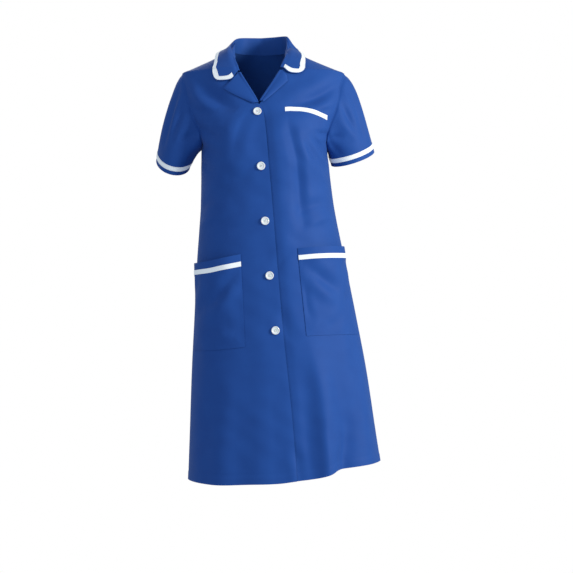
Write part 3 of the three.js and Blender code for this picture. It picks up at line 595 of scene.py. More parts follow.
def sleeve_lines(side):
    rows = np.r_[ARM_ROWS, ARM_ROWS[-2:0:-1]]
    face = np.r_[np.ones(len(ARM_ROWS)), -np.ones(len(ARM_ROWS) - 2)]
    angle = np.where(face > 0, outer_angle(rows, side, 1), outer_angle(rows, side, -1))
    start = body(angle, rows, -0.8)
    lengths = np.linalg.norm(np.roll(start, -1, 0) - start, axis=1)
    turn = 2 * np.pi * np.r_[0, np.cumsum(lengths)[:-1]] / lengths.sum()
    shape = {k: np.array(v, float) for k, v in SLEEVES[side].items()}
    hem = shape["centre"] + np.cos(turn)[:, None] * shape["out"] + np.sin(turn)[:, None] * shape["fore"]
    axis = unit(np.cross(shape["fore"], shape["out"]))
    axis = -axis if axis[2] > 0 else axis
    run = hem - start
    top = (((1 + np.cos(turn)) / 2) ** 1.5)[:, None]
    begin = run * 0.9 * (1 - top) + shape["cap"] * top
    begin[:, 1] -= 16 * np.sin(turn)
    end = axis * np.linalg.norm(run, axis=1)[:, None]
    return {"start": start, "begin": begin, "hem": hem, "end": end, "turn": turn, "side": side}


def sleeve_plain(lines, t):
    t = np.broadcast_to(np.asarray(t, float), (np.shape(t)[0], len(lines["turn"])))[..., None]
    t2, t3 = t * t, t * t * t
    return (
        lines["start"] * (2 * t3 - 3 * t2 + 1)
        + lines["begin"] * (t3 - 2 * t2 + t)
        + lines["hem"] * (3 * t2 - 2 * t3)
        + lines["end"] * (t3 - t2)
    )


def sleeve(lines, t, lift=0.0):
    """Places on a sleeve for rows t from the armhole (0) to the hem (1), with its creases."""
    t = np.asarray(t, float)
    t = t[:, None] if t.ndim == 1 else t
    p = sleeve_plain(lines, t)
    n = grid_normals(p, ring=True) * -lines["side"]
    turn = np.where(lines["turn"] > np.pi, lines["turn"] - 2 * np.pi, lines["turn"])
    push = np.zeros(p.shape[:2]) + lift
    for i, row in enumerate(rows_of(SLEEVE_CREASES)):
        shift = 0.18 * math.sin(3 * i) * (lines["side"] + 1)
        at = np.clip((t - row["t0"]) / (row["t1"] - row["t0"]), 0, 1)
        away = (turn - lerp(row["turn0"], row["turn1"], at) - shift + np.pi) % (2 * np.pi) - np.pi
        inside = np.sin(np.pi * np.clip((t - row["t0"]) / (row["t1"] - row["t0"]), 0, 1))
        depth = np.exp(-((away / row["wide"]) ** 2)) - 0.35 * np.exp(-(((np.abs(away) - 0.4) / 0.2) ** 2))
        push = push + row["rise"] * inside * depth
    push = push + 0.45 * np.sin(turn * 5 + t * 9) * np.sin(np.pi * np.clip(t, 0, 1))
    push = push - 0.5 * np.exp(-(((t - 0.03) / 0.02) ** 2)) + 1.3 * ease(t / 0.1) * (1 - ease((t - 0.1) / 0.25))
    return p + n * push[..., None], n


sleeve_of = {side: sleeve_lines(side) for side in (-1, 1)}
for side, name in ((-1, "right"), (1, "left")):
    places, outward = sleeve(sleeve_of[side], np.linspace(0, 1, 80))
    made[f"sleeve_{name}"] = sheet(f"sleeve_{name}_cloth", places, CLOTH, ring=True, flip=side > 0)


def sleeve_braid(side, name):
    lines = sleeve_of[side]
    length = np.linalg.norm(lines["end"], axis=1)
    mm = np.linspace(BRAID_INSET + BRAID_WIDTH, BRAID_INSET, 7)[:, None]
    places, _ = sleeve(lines, 1 - mm / length, 0.25 + 0.55)
    made[f"sleeve_braid_{name}"] = sheet(f"sleeve_{name}_braid", places, 0.55, ring=True, flip=side > 0)
    return lines, length


for side, name in ((-1, "right"), (1, "left")):
    sleeve_braid(side, name)


# %% [markdown]
# ## Collar
# The stand rises from the neckline, rolls over in a soft fold and falls on the shoulders. The braid follows its
# outer edge, turns each point, and ends at the notches.

# %%
def form_distance(p):
    def value(q):
        centre, half, side, fore, aft, full = section(q[..., 2])
        depth = np.where(q[..., 1] < side, fore, aft)
        total = (np.abs(q[..., 0] - centre) / half) ** full + (np.abs(q[..., 1] - side) / depth) ** full
        return total ** (1 / full)

    here = value(p)
    slope = np.stack([(value(p + np.eye(3)[k] * 0.5) - here) / 0.5 for k in range(3)], -1)
    return (here - 1) / np.linalg.norm(slope, axis=-1), unit(slope)


def seat(p, least, most=1e9):
    """Moves places out to at least this far off the form, or in to no further than most."""
    for _ in range(5):
        distance, way = form_distance(p)
        p = p + way * (np.clip(distance, least, most) - distance)[..., None]
    return p


def on_front(x, z, lift=0.0):
    x, z = np.broadcast_arrays(np.asarray(x, float), np.asarray(z, float))
    ride = np.where(x < edge_of[-1](z), lap_lift(x, z), 0)
    return body(angle_at(x, z), z, lift + ride)


COLLAR = {
    -1: table(
        "s rx ry rz mx my mz ex ey ez",
        [
            (0, -2.5, 60, 31, -2.5, 82, 6, -2.5, 92, -24),
            (0.25, -43, 45, 29, -60, 62, 6, -74, 74, -25),
            (0.5, -61, 8, 20, -80, 8, 4, -98, 8, -15),
            (0.62, -65, -9, 3, -85, -16, -9, -104, -24, -28),
            (0.75, -64, -25, -14, -87, -38, -27, -106, -50, -48),
            (0.88, -58, -52, -41, -84, -62, -56, -110, -66, -70),
            (1, -48.5, -74, -68, -68, -84, -89, -104, -78, -91),
        ],
    ),
    1: table(
        "s rx ry rz mx my mz ex ey ez",
        [
            (0, -2.5, 60, 31, -2.5, 82, 6, -2.5, 92, -24),
            (0.25, 38, 46, 32, 55, 62, 9, 70, 74, -23),
            (0.5, 57, 10, 27, 73, 8, 9, 89, 8, -11),
            (0.62, 59, -7, 9, 77, -14, -6, 95, -22, -27),
            (0.75, 56.5, -24, -9, 79, -36, -24, 98, -44, -43),
            (0.88, 52, -46, -33, 76, -58, -45, 99, -58, -56),
            (1, 42.5, -70, -61, 64, -74, -74, 91, -70, -74),
        ],
    ),
}


def through(points, t):
    """A smooth curve through a list of places, at t from 0 to 1."""
    x = np.asarray(t) * (len(points) - 1)
    i = np.clip(np.floor(x).astype(int), 0, len(points) - 2)
    f = (x - i)[..., None]
    stack = np.stack(points)
    a, b = stack[np.clip(i - 1, 0, None)], stack[i]
    d, e = stack[i + 1], stack[np.clip(i + 2, None, len(points) - 1)]
    return b + 0.5 * f * (d - a + f * (2 * a - 5 * b + 4 * d - e + f * (3 * (b - d) + e - a)))


def collar_foot(side, s):
    angle = lerp(np.pi, np.pi / 2, np.clip(s * 2, 0, 1)) * side
    step = plain_normal(angle, NECK_LEVEL) * (1, 1, 0)
    behind = plain(angle, NECK_LEVEL + 0 * angle) - unit(step) * (0.3 + 2 * ease(s * 2))[:, None]
    behind[:, 2] = NECK_LEVEL + 0.2
    z = lerp(NECK_LEVEL, -64 if side < 0 else -57, np.clip(s * 2 - 1, 0, 1))
    before = on_front(edge_of[side](z) - side * 2.0, z, LAP_RIDE * 0.6 if side < 0 else 0)
    return np.where((s <= 0.5)[:, None], behind, before)


def collar_side(side, s):
    def column(key):
        return np.stack([reader(COLLAR[side], "s", key + c)(s) for c in "xyz"], -1)

    least = 2.5 * ease((s - 0.82) / 0.14) - 60 * (1 - ease((s - 0.7) / 0.16))
    roll = seat(column("r"), least)
    edge = seat(column("e"), 5.2, 5.2)
    mid = seat(column("m"), 5.6)
    out = unit((mid - roll) * (1, 1, 0))
    over = roll + out * 5 + (0, 0, -1)
    foot = collar_foot(side, s)
    stand = lerp(foot, roll, 0.55) - out * 1.5
    return [foot, stand, roll, over, mid, edge]


def collar(u, v):
    """Places on the collar: u from the right gorge (-1) to the left one (1), v from the neckline seam (0) to the edge (1)."""
    u, v = np.broadcast_arrays(np.asarray(u, float), np.asarray(v, float))
    flat_u, flat_v = u.ravel(), v.ravel()
    p = np.zeros((flat_u.size, 3))
    for side in (-1, 1):
        mine = (flat_u < 0) if side < 0 else (flat_u >= 0)
        if not mine.any():
            continue
        keys = collar_side(side, np.abs(flat_u[mine]))
        x = flat_v[mine] * 5
        i = np.clip(np.floor(x).astype(int), 0, 4)
        f = (x - i)[:, None]
        stack, n = np.stack(keys), np.arange(mine.sum())
        a, b = stack[np.clip(i - 1, 0, 5), n], stack[i, n]
        d, e = stack[i + 1, n], stack[np.clip(i + 2, 0, 5), n]
        q = b + 0.5 * f * (d - a + f * (2 * a - 5 * b + 4 * d - e + f * (3 * (b - d) + e - a)))
        ride = LAP_RIDE * ease((np.abs(flat_u[mine]) - 0.45) / 0.1) if side < 0 else 0
        least = (5.4 + ride) * ease((flat_v[mine] - 0.5) / 0.2)
        p[mine] = np.where((flat_v[mine] < 0.5)[:, None], q, seat(q, np.where(flat_v[mine] < 0.5, -99, least)))
    return p.reshape(*u.shape, 3)


collar_u = np.sin(np.linspace(-np.pi / 2, np.pi / 2, 150))
COLLAR_ROUND = 12
BRAID_TOP = {-1: 0.735, 1: 0.64}


def fall_scale(u):
    """Millimetres along a column for a whole step of v, near the fall's edge."""
    return np.linalg.norm(collar(u, 1.0) - collar(u, 0.92), axis=-1) / 0.08


def end_scale(side, v):
    """Millimetres in from a front end for a whole step of u."""
    return np.linalg.norm(collar(side * 1.0, v) - collar(side * 0.96, v), axis=-1) / 0.04


def lowest(u):
    """How far down a column of the fall goes: its front corners are rounded."""
    across = np.where(u < 0, end_scale(-1, np.array([0.93])), end_scale(1, np.array([0.93])))
    short = np.maximum(COLLAR_ROUND - (1 - np.abs(u)) * across, 0)
    return 1 - (COLLAR_ROUND - np.sqrt(COLLAR_ROUND**2 - short**2)) / fall_scale(u)


collar_rows = np.linspace(0, 1, 44) * lowest(collar_u)[:, None]
made["collar"] = sheet("collar_cloth", collar(collar_u[:, None], collar_rows), DOUBLE, flip=False)


def braid_end(side, mm):
    """One front end of the braid, from the notch down and round the corner."""
    rounding = max(COLLAR_ROUND - mm, 1.2)
    turn = np.linspace(0, np.pi / 2, 16)
    inwards, down = mm + rounding * (1 - np.cos(turn)), mm + rounding * (1 - np.sin(turn))
    v = 1 - down / fall_scale(side * (1 - inwards / end_scale(side, np.array([0.93]))))
    v = np.r_[np.linspace(BRAID_TOP[side], v[0], 12)[:-1], v]
    inwards = np.r_[np.full(11, mm), inwards]
    return np.stack([side * (1 - inwards / end_scale(side, v)), v], 1)


def collar_outline(mm):
    """The line this far inside the fall's edge and its two front ends, from notch to notch."""
    right, left = braid_end(-1, mm), braid_end(1, mm)[::-1]
    u = np.linspace(right[-1, 0], left[0, 0], 152)[1:-1]
    return np.concatenate([right, np.stack([u, 1 - mm / fall_scale(u)], 1), left])


def collar_lifted(uv, lift):
    u, v = uv[..., 0], uv[..., 1]
    low_u, high_u = np.clip(u - 0.01, -1, 1), np.clip(u + 0.01, -1, 1)
    along = collar(high_u, v) - collar(low_u, v)
    across = collar(u, np.clip(v + 0.01, 0, 1)) - collar(u, v - 0.01)
    n = unit(np.cross(along, across))
    p = collar(u, v)
    _, way = form_distance(p)
    n = n * np.sign((n * way).sum(-1))[..., None]
    return p + n * lift, n


def collar_braid():
    outer, inner = collar_outline(1.5), collar_outline(1.5 + BRAID_WIDTH)
    grid = np.stack([lerp(outer, inner, t) for t in np.linspace(0, 1, 7)], 1)
    places, n = collar_lifted(grid, 0.3 + 0.55)
    return sheet("collar_edge_braid", places, 0.55, normals=n), outer, inner


made["collar_braid"], braid_outer, braid_inner = collar_braid()

# %% [markdown]
# ## Reveres
# Above the top button each front turns back on itself along the roll line. The revere's edge is stitched close to
# its turned edge, and the notch lies between it and the collar.

# %%
REVERES = {
    -1: table(
        "roll x z",
        [
            (-143, -18, -145),
            (-130, -34, -137),
            (-116, -52, -128.5),
            (-102, -71, -118.5),
            (-89, -85, -108.5),
            (-79, -79, -102),
            (-71.5, -69.5, -93),
        ],
    ),
    1: table(
        "roll x z",
        [
            (-138, 6, -139.5),
            (-125, 19, -128.5),
            (-112, 32, -117),
            (-99, 46, -104),
            (-85, 60.5, -90),
            (-75, 59, -85),
            (-65, 58, -78),
        ],
    ),
}


def revere(side, rows=46, columns=24):
    at = np.linspace(0, 6, rows)
    roll, x, z = (np.interp(at, range(7), REVERES[side][c]) for c in ("roll", "x", "z"))
    edge = edge_of[side](roll) - side * 0.5
    taper = ease((-roll - 50) / 20) * ease((150 + roll) / 18)
    ride = 2.9 + (LAP_RIDE if side < 0 else 0)
    turn = np.linspace(0, 1, 7)[:-1, None]
    out = -side * 4.5 * taper * np.cos(turn * np.pi / 2) ** 0.8
    height = ride - 2.6 * taper * (1 - np.sin(turn * np.pi / 2)) + taper * np.sin(turn * np.pi)
    bend = np.moveaxis(body(angle_at(edge + out, roll + 0 * out), roll + 0 * out, height), 0, 1)
    t = np.linspace(0.02, 1, columns)
    flat_x = lerp((edge + side * 0.8)[:, None], x[:, None], t)
    flat_z = lerp(roll[:, None], z[:, None], t)
    rise = 2.9 + 1.6 * np.sin(np.pi * t) - 0.5 * np.exp(-(((1 - t) / 0.12) ** 2))
    flat = on_front(flat_x, flat_z, rise)
    return np.concatenate([bend, flat], 1)


for side, name in ((-1, "right"), (1, "left")):
    made[f"revere_{name}"] = sheet(f"revere_{name}_cloth", revere(side), DOUBLE, flip=side < 0)

# %% [markdown]
# ## Breast welt and patch pockets
# The welt is a narrow white strip over an inset pocket. The patch pockets wrap round the hips, and their mouths
# stand open a little because hands have been in them.

# %%
WELT = table(
    "x z",
    [(54, -157.5), (70, -156), (86, -156), (100, -157.5), (114, -160.5), (127, -164), (139, -168), (150, -172)],
)
welt_x = np.linspace(54, 150, 60)
welt_z = reader(WELT, "x", "z")(welt_x)
welt_t = np.linspace(0.5, -0.5, 9)
welt_lift = 1.3 + 0.5 * np.exp(-(((welt_t - 0.5) / 0.2) ** 2))
welt = on_front(welt_x[:, None], welt_z[:, None] + welt_t * BRAID_WIDTH, welt_lift)
made["breast_welt"] = sheet("breast_welt_cloth", welt, 0.9, flip=True)

POCKETS = {
    -1: {"inner": -46, "mouth": (-487, -496, -504, -507, -508), "stand": 14},
    1: {"inner": 82, "mouth": (-474, -471, -470, -470, -471), "stand": 13},
}
POCKET_CREASES = {
    -1: table(
        "u0 v0 u1 v1 wide rise",
        [
            (0.05, 0.16, 0.62, 0.52, 0.07, -4.8),
            (0.5, 0.36, 0.95, 0.6, 0.08, -2.6),
            (0.1, 0.3, 0.5, 0.62, 0.1, 2.2),
            (0.3, 0.7, 0.75, 0.82, 0.08, -1.8),
            (0.7, 0.12, 0.9, 0.4, 0.07, -2.2),
            (0.15, 0.86, 0.42, 0.78, 0.06, 1.4),
        ],
    ),
    1: table(
        "u0 v0 u1 v1 wide rise",
        [
            (0.08, 0.2, 0.6, 0.5, 0.075, -5.4),
            (0.14, 0.3, 0.5, 0.64, 0.09, 2.6),
            (0.95, 0.18, 0.66, 0.3, 0.06, -2.6),
            (0.9, 0.5, 0.66, 0.72, 0.07, -2.6),
            (0.3, 0.88, 0.62, 0.8, 0.06, -1.8),
            (0.04, 0.42, 0.1, 0.82, 0.05, -1.6),
        ],
    ),
}


def pocket(side, u, v, extra=0.0):
    shape = POCKETS[side]
    u, v = np.broadcast_arrays(np.asarray(u, float), np.asarray(v, float))
    knots = table("u z", list(zip(np.linspace(0, 1, 5), shape["mouth"])))
    top = reader(knots, "u", "z")(u)
    foot = (shape["mouth"][0] + shape["mouth"][4]) / 2 - POCKET["depth"]
    z = lerp(top, lerp(foot, foot + top - shape["mouth"][0], 0.5), v)
    angle = angle_along(angle_at(shape["inner"], top), z, 0.01 + POCKET["width"] * u, side)
    open_it = np.sin(np.pi * u) ** 0.8 * np.clip(1 - v / 0.8, 0, 1) ** 1.3
    x = plain(angle, z)[..., 0]
    ride = lap_lift(x, z) if side < 0 else 0
    edge = np.minimum(np.minimum(u, 1 - u) * POCKET["width"], (1 - v) * POCKET["depth"])
    puff = 1.9 * ease(edge / 34)
    crease = np.zeros(u.shape)
    for row in rows_of(POCKET_CREASES[side]):
        line = {"x0": row["u0"], "z0": row["v0"], "x1": row["u1"], "z1": row["v1"], "bow": 0.03}
        t, away, _ = along_line(u, v, line)
        depth = np.exp(-((away / row["wide"]) ** 2)) - 0.3 * np.exp(-(((away / row["wide"]) - 2) ** 2))
        crease += row["rise"] * np.sin(np.pi * np.clip(t * 0.9 + 0.05, 0, 1)) * depth
    hem = 0.5 * (1 - ease((v * POCKET["depth"] - 30) / 2))
    soft = ease(edge / 10)
    return body(angle, z, POCKET["stand_off"] + ride + shape["stand"] * open_it + puff + hem + crease * soft + extra)


for side, name in ((-1, "right"), (1, "left")):
    places = pocket(side, np.linspace(0, 1, 70), np.linspace(0, 1, 84)[:, None])
    made[f"pocket_{name}"] = sheet(f"pocket_{name}_cloth", places, CLOTH, flip=side > 0)
    mm = np.linspace(POCKET_HEM, POCKET_HEM + BRAID_WIDTH, 7)[:, None]
    band = pocket(side, np.linspace(0, 1, 70), mm / POCKET["depth"], 0.85)
    made[f"pocket_braid_{name}"] = sheet(f"pocket_{name}_braid", band, 0.55, flip=side > 0)

# %% [markdown]
# ## Buttons
# Four-hole cast polyester buttons with a raised rim. Each is turned as one piece, drilled, and stood on the cloth
# by its thread shank; two bars of thread show in the dish.

# %%
PROFILE = [
    (0.0, 0.0),
    (0.8, 0.0),
    (0.93, 0.1),
    (0.99, 0.32),
    (1.0, 0.55),
    (0.97, 0.82),
    (0.91, 0.97),
    (0.84, 1.0),
    (0.77, 0.95),
    (0.7, 0.8),
    (0.62, 0.66),
    (0.5, 0.6),
    (0.0, 0.56),
]


def lathe(profile, segments):
    """A closed solid of revolution about z, from (radius, height) pairs that begin and end on the axis."""
    ring = np.linspace(0, 2 * np.pi, segments, endpoint=False)
    points = [(0, 0, profile[0][1])]
    for r, h in profile[1:-1]:
        points += [(r * math.cos(a), r * math.sin(a), h) for a in ring]
    points.append((0, 0, profile[-1][1]))
    first = lambda k: 1 + k * segments
    faces = []
    for j in range(segments):
        nxt = (j + 1) % segments
        faces.append((0, first(0) + nxt, first(0) + j))
        for k in range(len(profile) - 3):
            faces.append((first(k) + j, first(k) + nxt, first(k + 1) + nxt, first(k + 1) + j))
        top = first(len(profile) - 3)
        faces.append((top + j, top + nxt, len(points) - 1))
    return points, faces


def drilled_button():
    r, h = BUTTON["radius"], BUTTON["thick"]
    points, faces = lathe([(a * r, b * h) for a, b in PROFILE], 56)
    blank = new_mesh("button_blank", points, faces)
    for k in range(4):
        turn = (k + 0.5) * math.pi / 2
        ends = [(0, -2.0), (0.9, -2.0), (0.9, 6.0), (0, 6.0)]
        tool_points, tool_faces = lathe(ends, 16)
        moved = np.array(tool_points, float) + (2.1 * math.cos(turn), 2.1 * math.sin(turn), 0)
        tool = new_mesh(f"drill_{k}", moved, tool_faces)
        cut = blank.modifiers.new(f"hole_{k}", "BOOLEAN")
        cut.operation, cut.object, cut.solver = "DIFFERENCE", tool, "EXACT"
    graph = bpy.context.evaluated_depsgraph_get()
    mesh = bpy.data.meshes.new_from_object(blank.evaluated_get(graph))
    mesh.name = "drilled_button"
    for o in [o for o in bpy.data.objects if o.name.startswith(("drill_", "button_blank"))]:
        bpy.data.objects.remove(o)
    return mesh


def button_frame(n):
    z = BUTTON["first"] - n * BUTTON["step"]
    x = edge_of[-1](z) - BUTTON_INSETS[n]
    angle = angle_at(x, z)
    normal = plain_normal(angle, z)
    right = unit(np.cross((0, 0, 1.0), normal))
    up = np.cross(normal, right)
    tilt = (0.12, -0.2, 0.32, -0.08, 0.22)[n]
    turned = (right * math.cos(tilt) + up * math.sin(tilt), up * math.cos(tilt) - right * math.sin(tilt))
    return on_front(x, z, 0.9), np.stack([*turned, normal], 1), z


drilled = drilled_button()
co = np.empty(len(drilled.vertices) * 3)
drilled.vertices.foreach_get("co", co)
button_points = co.reshape(-1, 3) / MM
button_faces = [tuple(f.vertices) for f in drilled.polygons]
for n in range(BUTTON["count"]):
    origin, axes, _ = button_frame(n)
    made[f"button_{n + 1}"] = new_mesh(f"button_{n + 1}_cast", button_points @ axes.T + origin, button_faces, sharp=35)


# %% [markdown]
# ## Stitching
# One Geometry Nodes group sews every seam: it takes a line, steps along it by the stitch pitch, and lays one short
# thread at each step, turned to the line's direction.

# %%
def link(tree, a, out, b, into):
    tree.links.new(a.outputs[out], b.inputs[into])


def node(tree, kind, **values):
    """One node, with its settings and its unlinked inputs given by name."""
    n = tree.nodes.new(kind)
    for name, value in values.items():
        if hasattr(n, name):
            setattr(n, name, value)
        else:
            n.inputs[name.replace("_", " ")].default_value = value
    return n


def stitch_group():
    tree = bpy.data.node_groups.new("run_of_stitches", "GeometryNodeTree")
    for name, kind in (
        ("Lines", "NodeSocketGeometry"),
        ("Pitch", "NodeSocketFloat"),
        ("Stitch length", "NodeSocketFloat"),
        ("Thread radius", "NodeSocketFloat"),
        ("Across", "NodeSocketFloat"),
        ("Thread", "NodeSocketMaterial"),
    ):
        tree.interface.new_socket(name, in_out="INPUT", socket_type=kind)
    tree.interface.new_socket("Stitches", in_out="OUTPUT", socket_type="NodeSocketGeometry")
    given, result = node(tree, "NodeGroupInput"), node(tree, "NodeGroupOutput")
    curve = node(tree, "GeometryNodeMeshToCurve")
    steps = node(tree, "GeometryNodeResampleCurve", mode="LENGTH")
    thread = node(tree, "GeometryNodeMeshCylinder", Vertices=6, Side_Segments=1)
    tangent = node(tree, "GeometryNodeInputTangent")
    aim = node(tree, "FunctionNodeAlignRotationToVector", axis="Z")
    turn = node(tree, "FunctionNodeRotateRotation", rotation_space="LOCAL")
    angle = node(tree, "ShaderNodeCombineXYZ")
    as_turn = node(tree, "FunctionNodeEulerToRotation")
    place = node(tree, "GeometryNodeInstanceOnPoints")
    real = node(tree, "GeometryNodeRealizeInstances")
    colour = node(tree, "GeometryNodeSetMaterial")
    smooth = node(tree, "GeometryNodeSetShadeSmooth")
    link(tree, given, "Lines", curve, "Mesh")
    link(tree, curve, "Curve", steps, "Curve")
    link(tree, given, "Pitch", steps, "Length")
    link(tree, given, "Stitch length", thread, "Depth")
    link(tree, given, "Thread radius", thread, "Radius")
    link(tree, tangent, "Tangent", aim, "Vector")
    link(tree, aim, "Rotation", turn, "Rotation")
    link(tree, given, "Across", angle, "X")
    link(tree, angle, "Vector", as_turn, "Euler")
    link(tree, as_turn, "Rotation", turn, "Rotate By")
    link(tree, steps, "Curve", place, "Points")
    link(tree, thread, "Mesh", place, "Instance")
    link(tree, turn, "Rotation", place, "Rotation")
    link(tree, place, "Instances", real, "Geometry")
    link(tree, real, "Geometry", smooth, "Geometry")
    link(tree, smooth, "Geometry", colour, "Geometry")
    link(tree, given, "Thread", colour, "Material")
    link(tree, colour, "Geometry", result, "Stitches")
    return tree


sewing = stitch_group()


def sew(name, lines, thread, pitch=2.8, length=2.1, radius=0.22, across=0.0):
    """Stitches along every line, each a run of places, made real as one mesh."""
    points, edges = [], []
    for line in lines:
        start = len(points)
        points += (np.asarray(line) * MM).tolist()
        edges += [(start + i, start + i + 1) for i in range(len(line) - 1)]
    mesh = bpy.data.meshes.new(name + "_lines")
    mesh.from_pydata(points, edges, [])
    guide = bpy.data.objects.new(name + "_lines", mesh)
    bpy.context.scene.collection.objects.link(guide)
    machine = guide.modifiers.new("sewing", "NODES")
    machine.node_group = sewing
    values = {
        "Pitch": pitch * MM,
        "Stitch length": length * MM,
        "Thread radius": radius * MM,
        "Across": across,
        "Thread": thread,
    }
    for socket in sewing.interface.items_tree:
        if socket.in_out == "INPUT" and socket.name in values:
            machine[socket.identifier] = values[socket.name]
    graph = bpy.context.evaluated_depsgraph_get()
    sewn = bpy.data.meshes.new_from_object(guide.evaluated_get(graph))
    sewn.name = name
    bpy.data.objects.remove(guide)
    piece = bpy.data.objects.new(name, sewn)
    bpy.context.scene.collection.objects.link(piece)
    return piece


# %% [markdown]
# ## Materials
# Body cloth: a polyester-cotton twill, piece-dyed royal blue, calendered to a soft sheen. Its diagonal is about
# half a millimetre wide, so that it shows only close to. Braid: a plain-woven white tape, with a faint painted glow
# that keeps it white in shade. Buttons: cast polyester, tumbled to a polish.

# %%
def surface(name, base, roughness, sheen=0.0, coat=0.0):
    made_of = bpy.data.materials.new(name)
    made_of.use_nodes = True
    tree = made_of.node_tree
    shader = tree.nodes["Principled BSDF"]
    shader.inputs["Base Color"].default_value = hex_colour(base)
    shader.inputs["Roughness"].default_value = roughness
    shader.inputs["Sheen Weight"].default_value = sheen
    shader.inputs["Sheen Roughness"].default_value = 0.5
    shader.inputs["Coat Weight"].default_value = coat
    shader.inputs["Specular IOR Level"].default_value = 0.2
    return made_of, tree, shader


def woven(name, base, shade, roughness, sheen, rib, turn, depth):
    """Cloth: a woven rib of this width in millimetres, turned this far, with faint slubs and uneven dye."""
    made_of, tree, shader = surface(name, base, roughness, sheen)
    place = node(tree, "ShaderNodeTexCoord")
    twist = node(tree, "ShaderNodeMapping", Rotation=(0, 0, turn))
    weave = node(tree, "ShaderNodeTexWave", Scale=1 / (rib * 3.2), Distortion=0.5, Detail=1.0)
    slub = node(tree, "ShaderNodeTexNoise", Scale=0.9, Detail=3.0)
    dye = node(tree, "ShaderNodeTexNoise", Scale=0.028, Detail=3.0)
    relief = node(tree, "ShaderNodeMath", operation="MULTIPLY_ADD")
    relief.inputs[1].default_value = 0.5
    bump = node(tree, "ShaderNodeBump", Strength=0.35, Distance=depth * MM)
    mix = node(tree, "ShaderNodeMix", data_type="RGBA")
    mix.inputs[6].default_value = hex_colour(base)
    mix.inputs[7].default_value = hex_colour(shade)
    link(tree, place, "UV", twist, "Vector")
    link(tree, twist, "Vector", weave, "Vector")
    link(tree, place, "UV", slub, "Vector")
    link(tree, place, "UV", dye, "Vector")
    link(tree, slub, "Fac", relief, 0)
    link(tree, weave, "Fac", relief, 2)
    link(tree, relief, "Value", bump, "Height")
    tree.links.new(dye.outputs["Fac"], mix.inputs[0])
    tree.links.new(mix.outputs[2], shader.inputs["Base Color"])
    link(tree, bump, "Normal", shader, "Normal")
    return made_of


BLUE, BLUE_WORN = "#1F50A0", "#1B4895"
blue = woven("polyester-cotton twill, piece-dyed royal blue", BLUE, BLUE_WORN, 0.66, 0.06, 0.5, 0.9, 0.05)
white = woven("polyester-cotton braid, plain-woven white", "#F3F4F6", "#ECEDF0", 0.72, 0.1, 0.4, 0.0, 0.06)
white_shader = white.node_tree.nodes["Principled BSDF"]
# Painted light: the braid glows faintly, a bluish white with no lamp behind it, so that it stays white where it lies
# in shade.
white_shader.inputs["Emission Color"].default_value = (0.9, 0.95, 1, 1)
white_shader.inputs["Emission Strength"].default_value = 0.16
thread_blue, _, _ = surface("spun polyester thread, royal blue", "#2559B0", 0.55, 0.05)
thread_white, _, _ = surface("spun polyester thread, white", "#E9EBEE", 0.55, 0.2)
cast, _, cast_shader = surface("cast polyester resin, tumbled white", "#ECEDEF", 0.24, 0.0, 0.4)
cast_shader.inputs["Subsurface Weight"].default_value = 0.1
cast_shader.inputs["Subsurface Scale"].default_value = 0.002

# %% [markdown]
# ## Where the stitches run
# Lockstitch 6 mm inside the right front's edge, at the top of the turned-up hem, round the pockets, along the
# reveres' edges, and close to both edges of every band of braid.

# %%
OFF = 0.12  # how far a thread's middle stands off the cloth


def straight(a, b, count):
    return np.linspace(a, b, count)


placket_z = straight(-154, -996, 420)
placket = on_front(edge_of[-1](placket_z) - 6, placket_z, OFF)
fold_line = on_front(edge_of[-1](placket_z) - 38, placket_z, OFF)
hem_angles = straight(-np.pi / 2 + 0.01, 1.5 * np.pi - 0.02, 700)
hem_row = np.full(700, HEM_LEVEL + 20.0)
hem_z = row_height(hem_row, hem_angles)
hem_x = plain(hem_angles, hem_z)[..., 0]
on_right = (np.cos(hem_angles) > 0) & (hem_x < edge_of[-1](hem_z) - 1)
hem_lift = np.where(on_right, lap_lift(hem_x, hem_z), 0) + OFF - 0.25
hem_line = body(hem_angles, hem_z, hem_lift)
hem_runs = np.split(hem_line, np.flatnonzero(np.diff(on_right.astype(int)) != 0) + 1)

blue_lines = {"front_right": [placket, fold_line] + [r for r in hem_runs if len(r) > 3]}
for side, name in ((-1, "right"), (1, "left")):
    roll, x, z = (np.interp(straight(0.15, 5.9, 90), range(7), REVERES[side][c]) for c in ("roll", "x", "z"))
    edge = edge_of[side](roll)
    blue_lines[f"revere_{name}"] = [on_front(lerp(edge, x, 0.9), lerp(roll, z, 0.9), 2.9 + 1.6 * 0.31 + OFF - 0.25)]
    down, round_it = straight(0.005, 0.985, 120), straight(0.02, 0.98, 100)
    sides = [pocket(side, np.full(120, u), down, OFF) for u in (0.016, 0.984)]
    sides.append(pocket(side, round_it, np.full(100, 0.985), OFF))
    sides.append(pocket(side, round_it, np.full(100, 32 / POCKET["depth"]), OFF))
    blue_lines[f"pocket_{name}"] = sides

white_lines = {}
for side, name in ((-1, "right"), (1, "left")):
    lines = sleeve_of[side]
    length = np.linalg.norm(lines["end"], axis=1)
    runs = []
    for mm in (BRAID_INSET + 1.3, BRAID_INSET + BRAID_WIDTH - 1.3):
        rows = 1 - np.array([[mm + 1], [mm], [mm - 1]]) / length
        ring = sleeve(lines, rows, 0.8 + OFF)[0][1]
        runs.append(np.concatenate([ring, ring[:1]]))
    white_lines[f"sleeve_braid_{name}"] = runs
    across = straight(0.01, 0.99, 90)
    white_lines[f"pocket_braid_{name}"] = [
        pocket(side, across, np.full(90, (POCKET_HEM + mm) / POCKET["depth"]), 0.85 + OFF) for mm in (1.3, 9.2)
    ]
white_lines["collar_braid"] = [
    collar_lifted(lerp(braid_outer, braid_inner, t)[2:-2], 0.85 + OFF)[0] for t in (0.13, 0.87)
]
white_lines["breast_welt"] = [
    on_front(straight(56, 148, 80), reader(WELT, "x", "z")(straight(56, 148, 80)) + k, 1.3 + OFF) for k in (-4, 4.1)
]

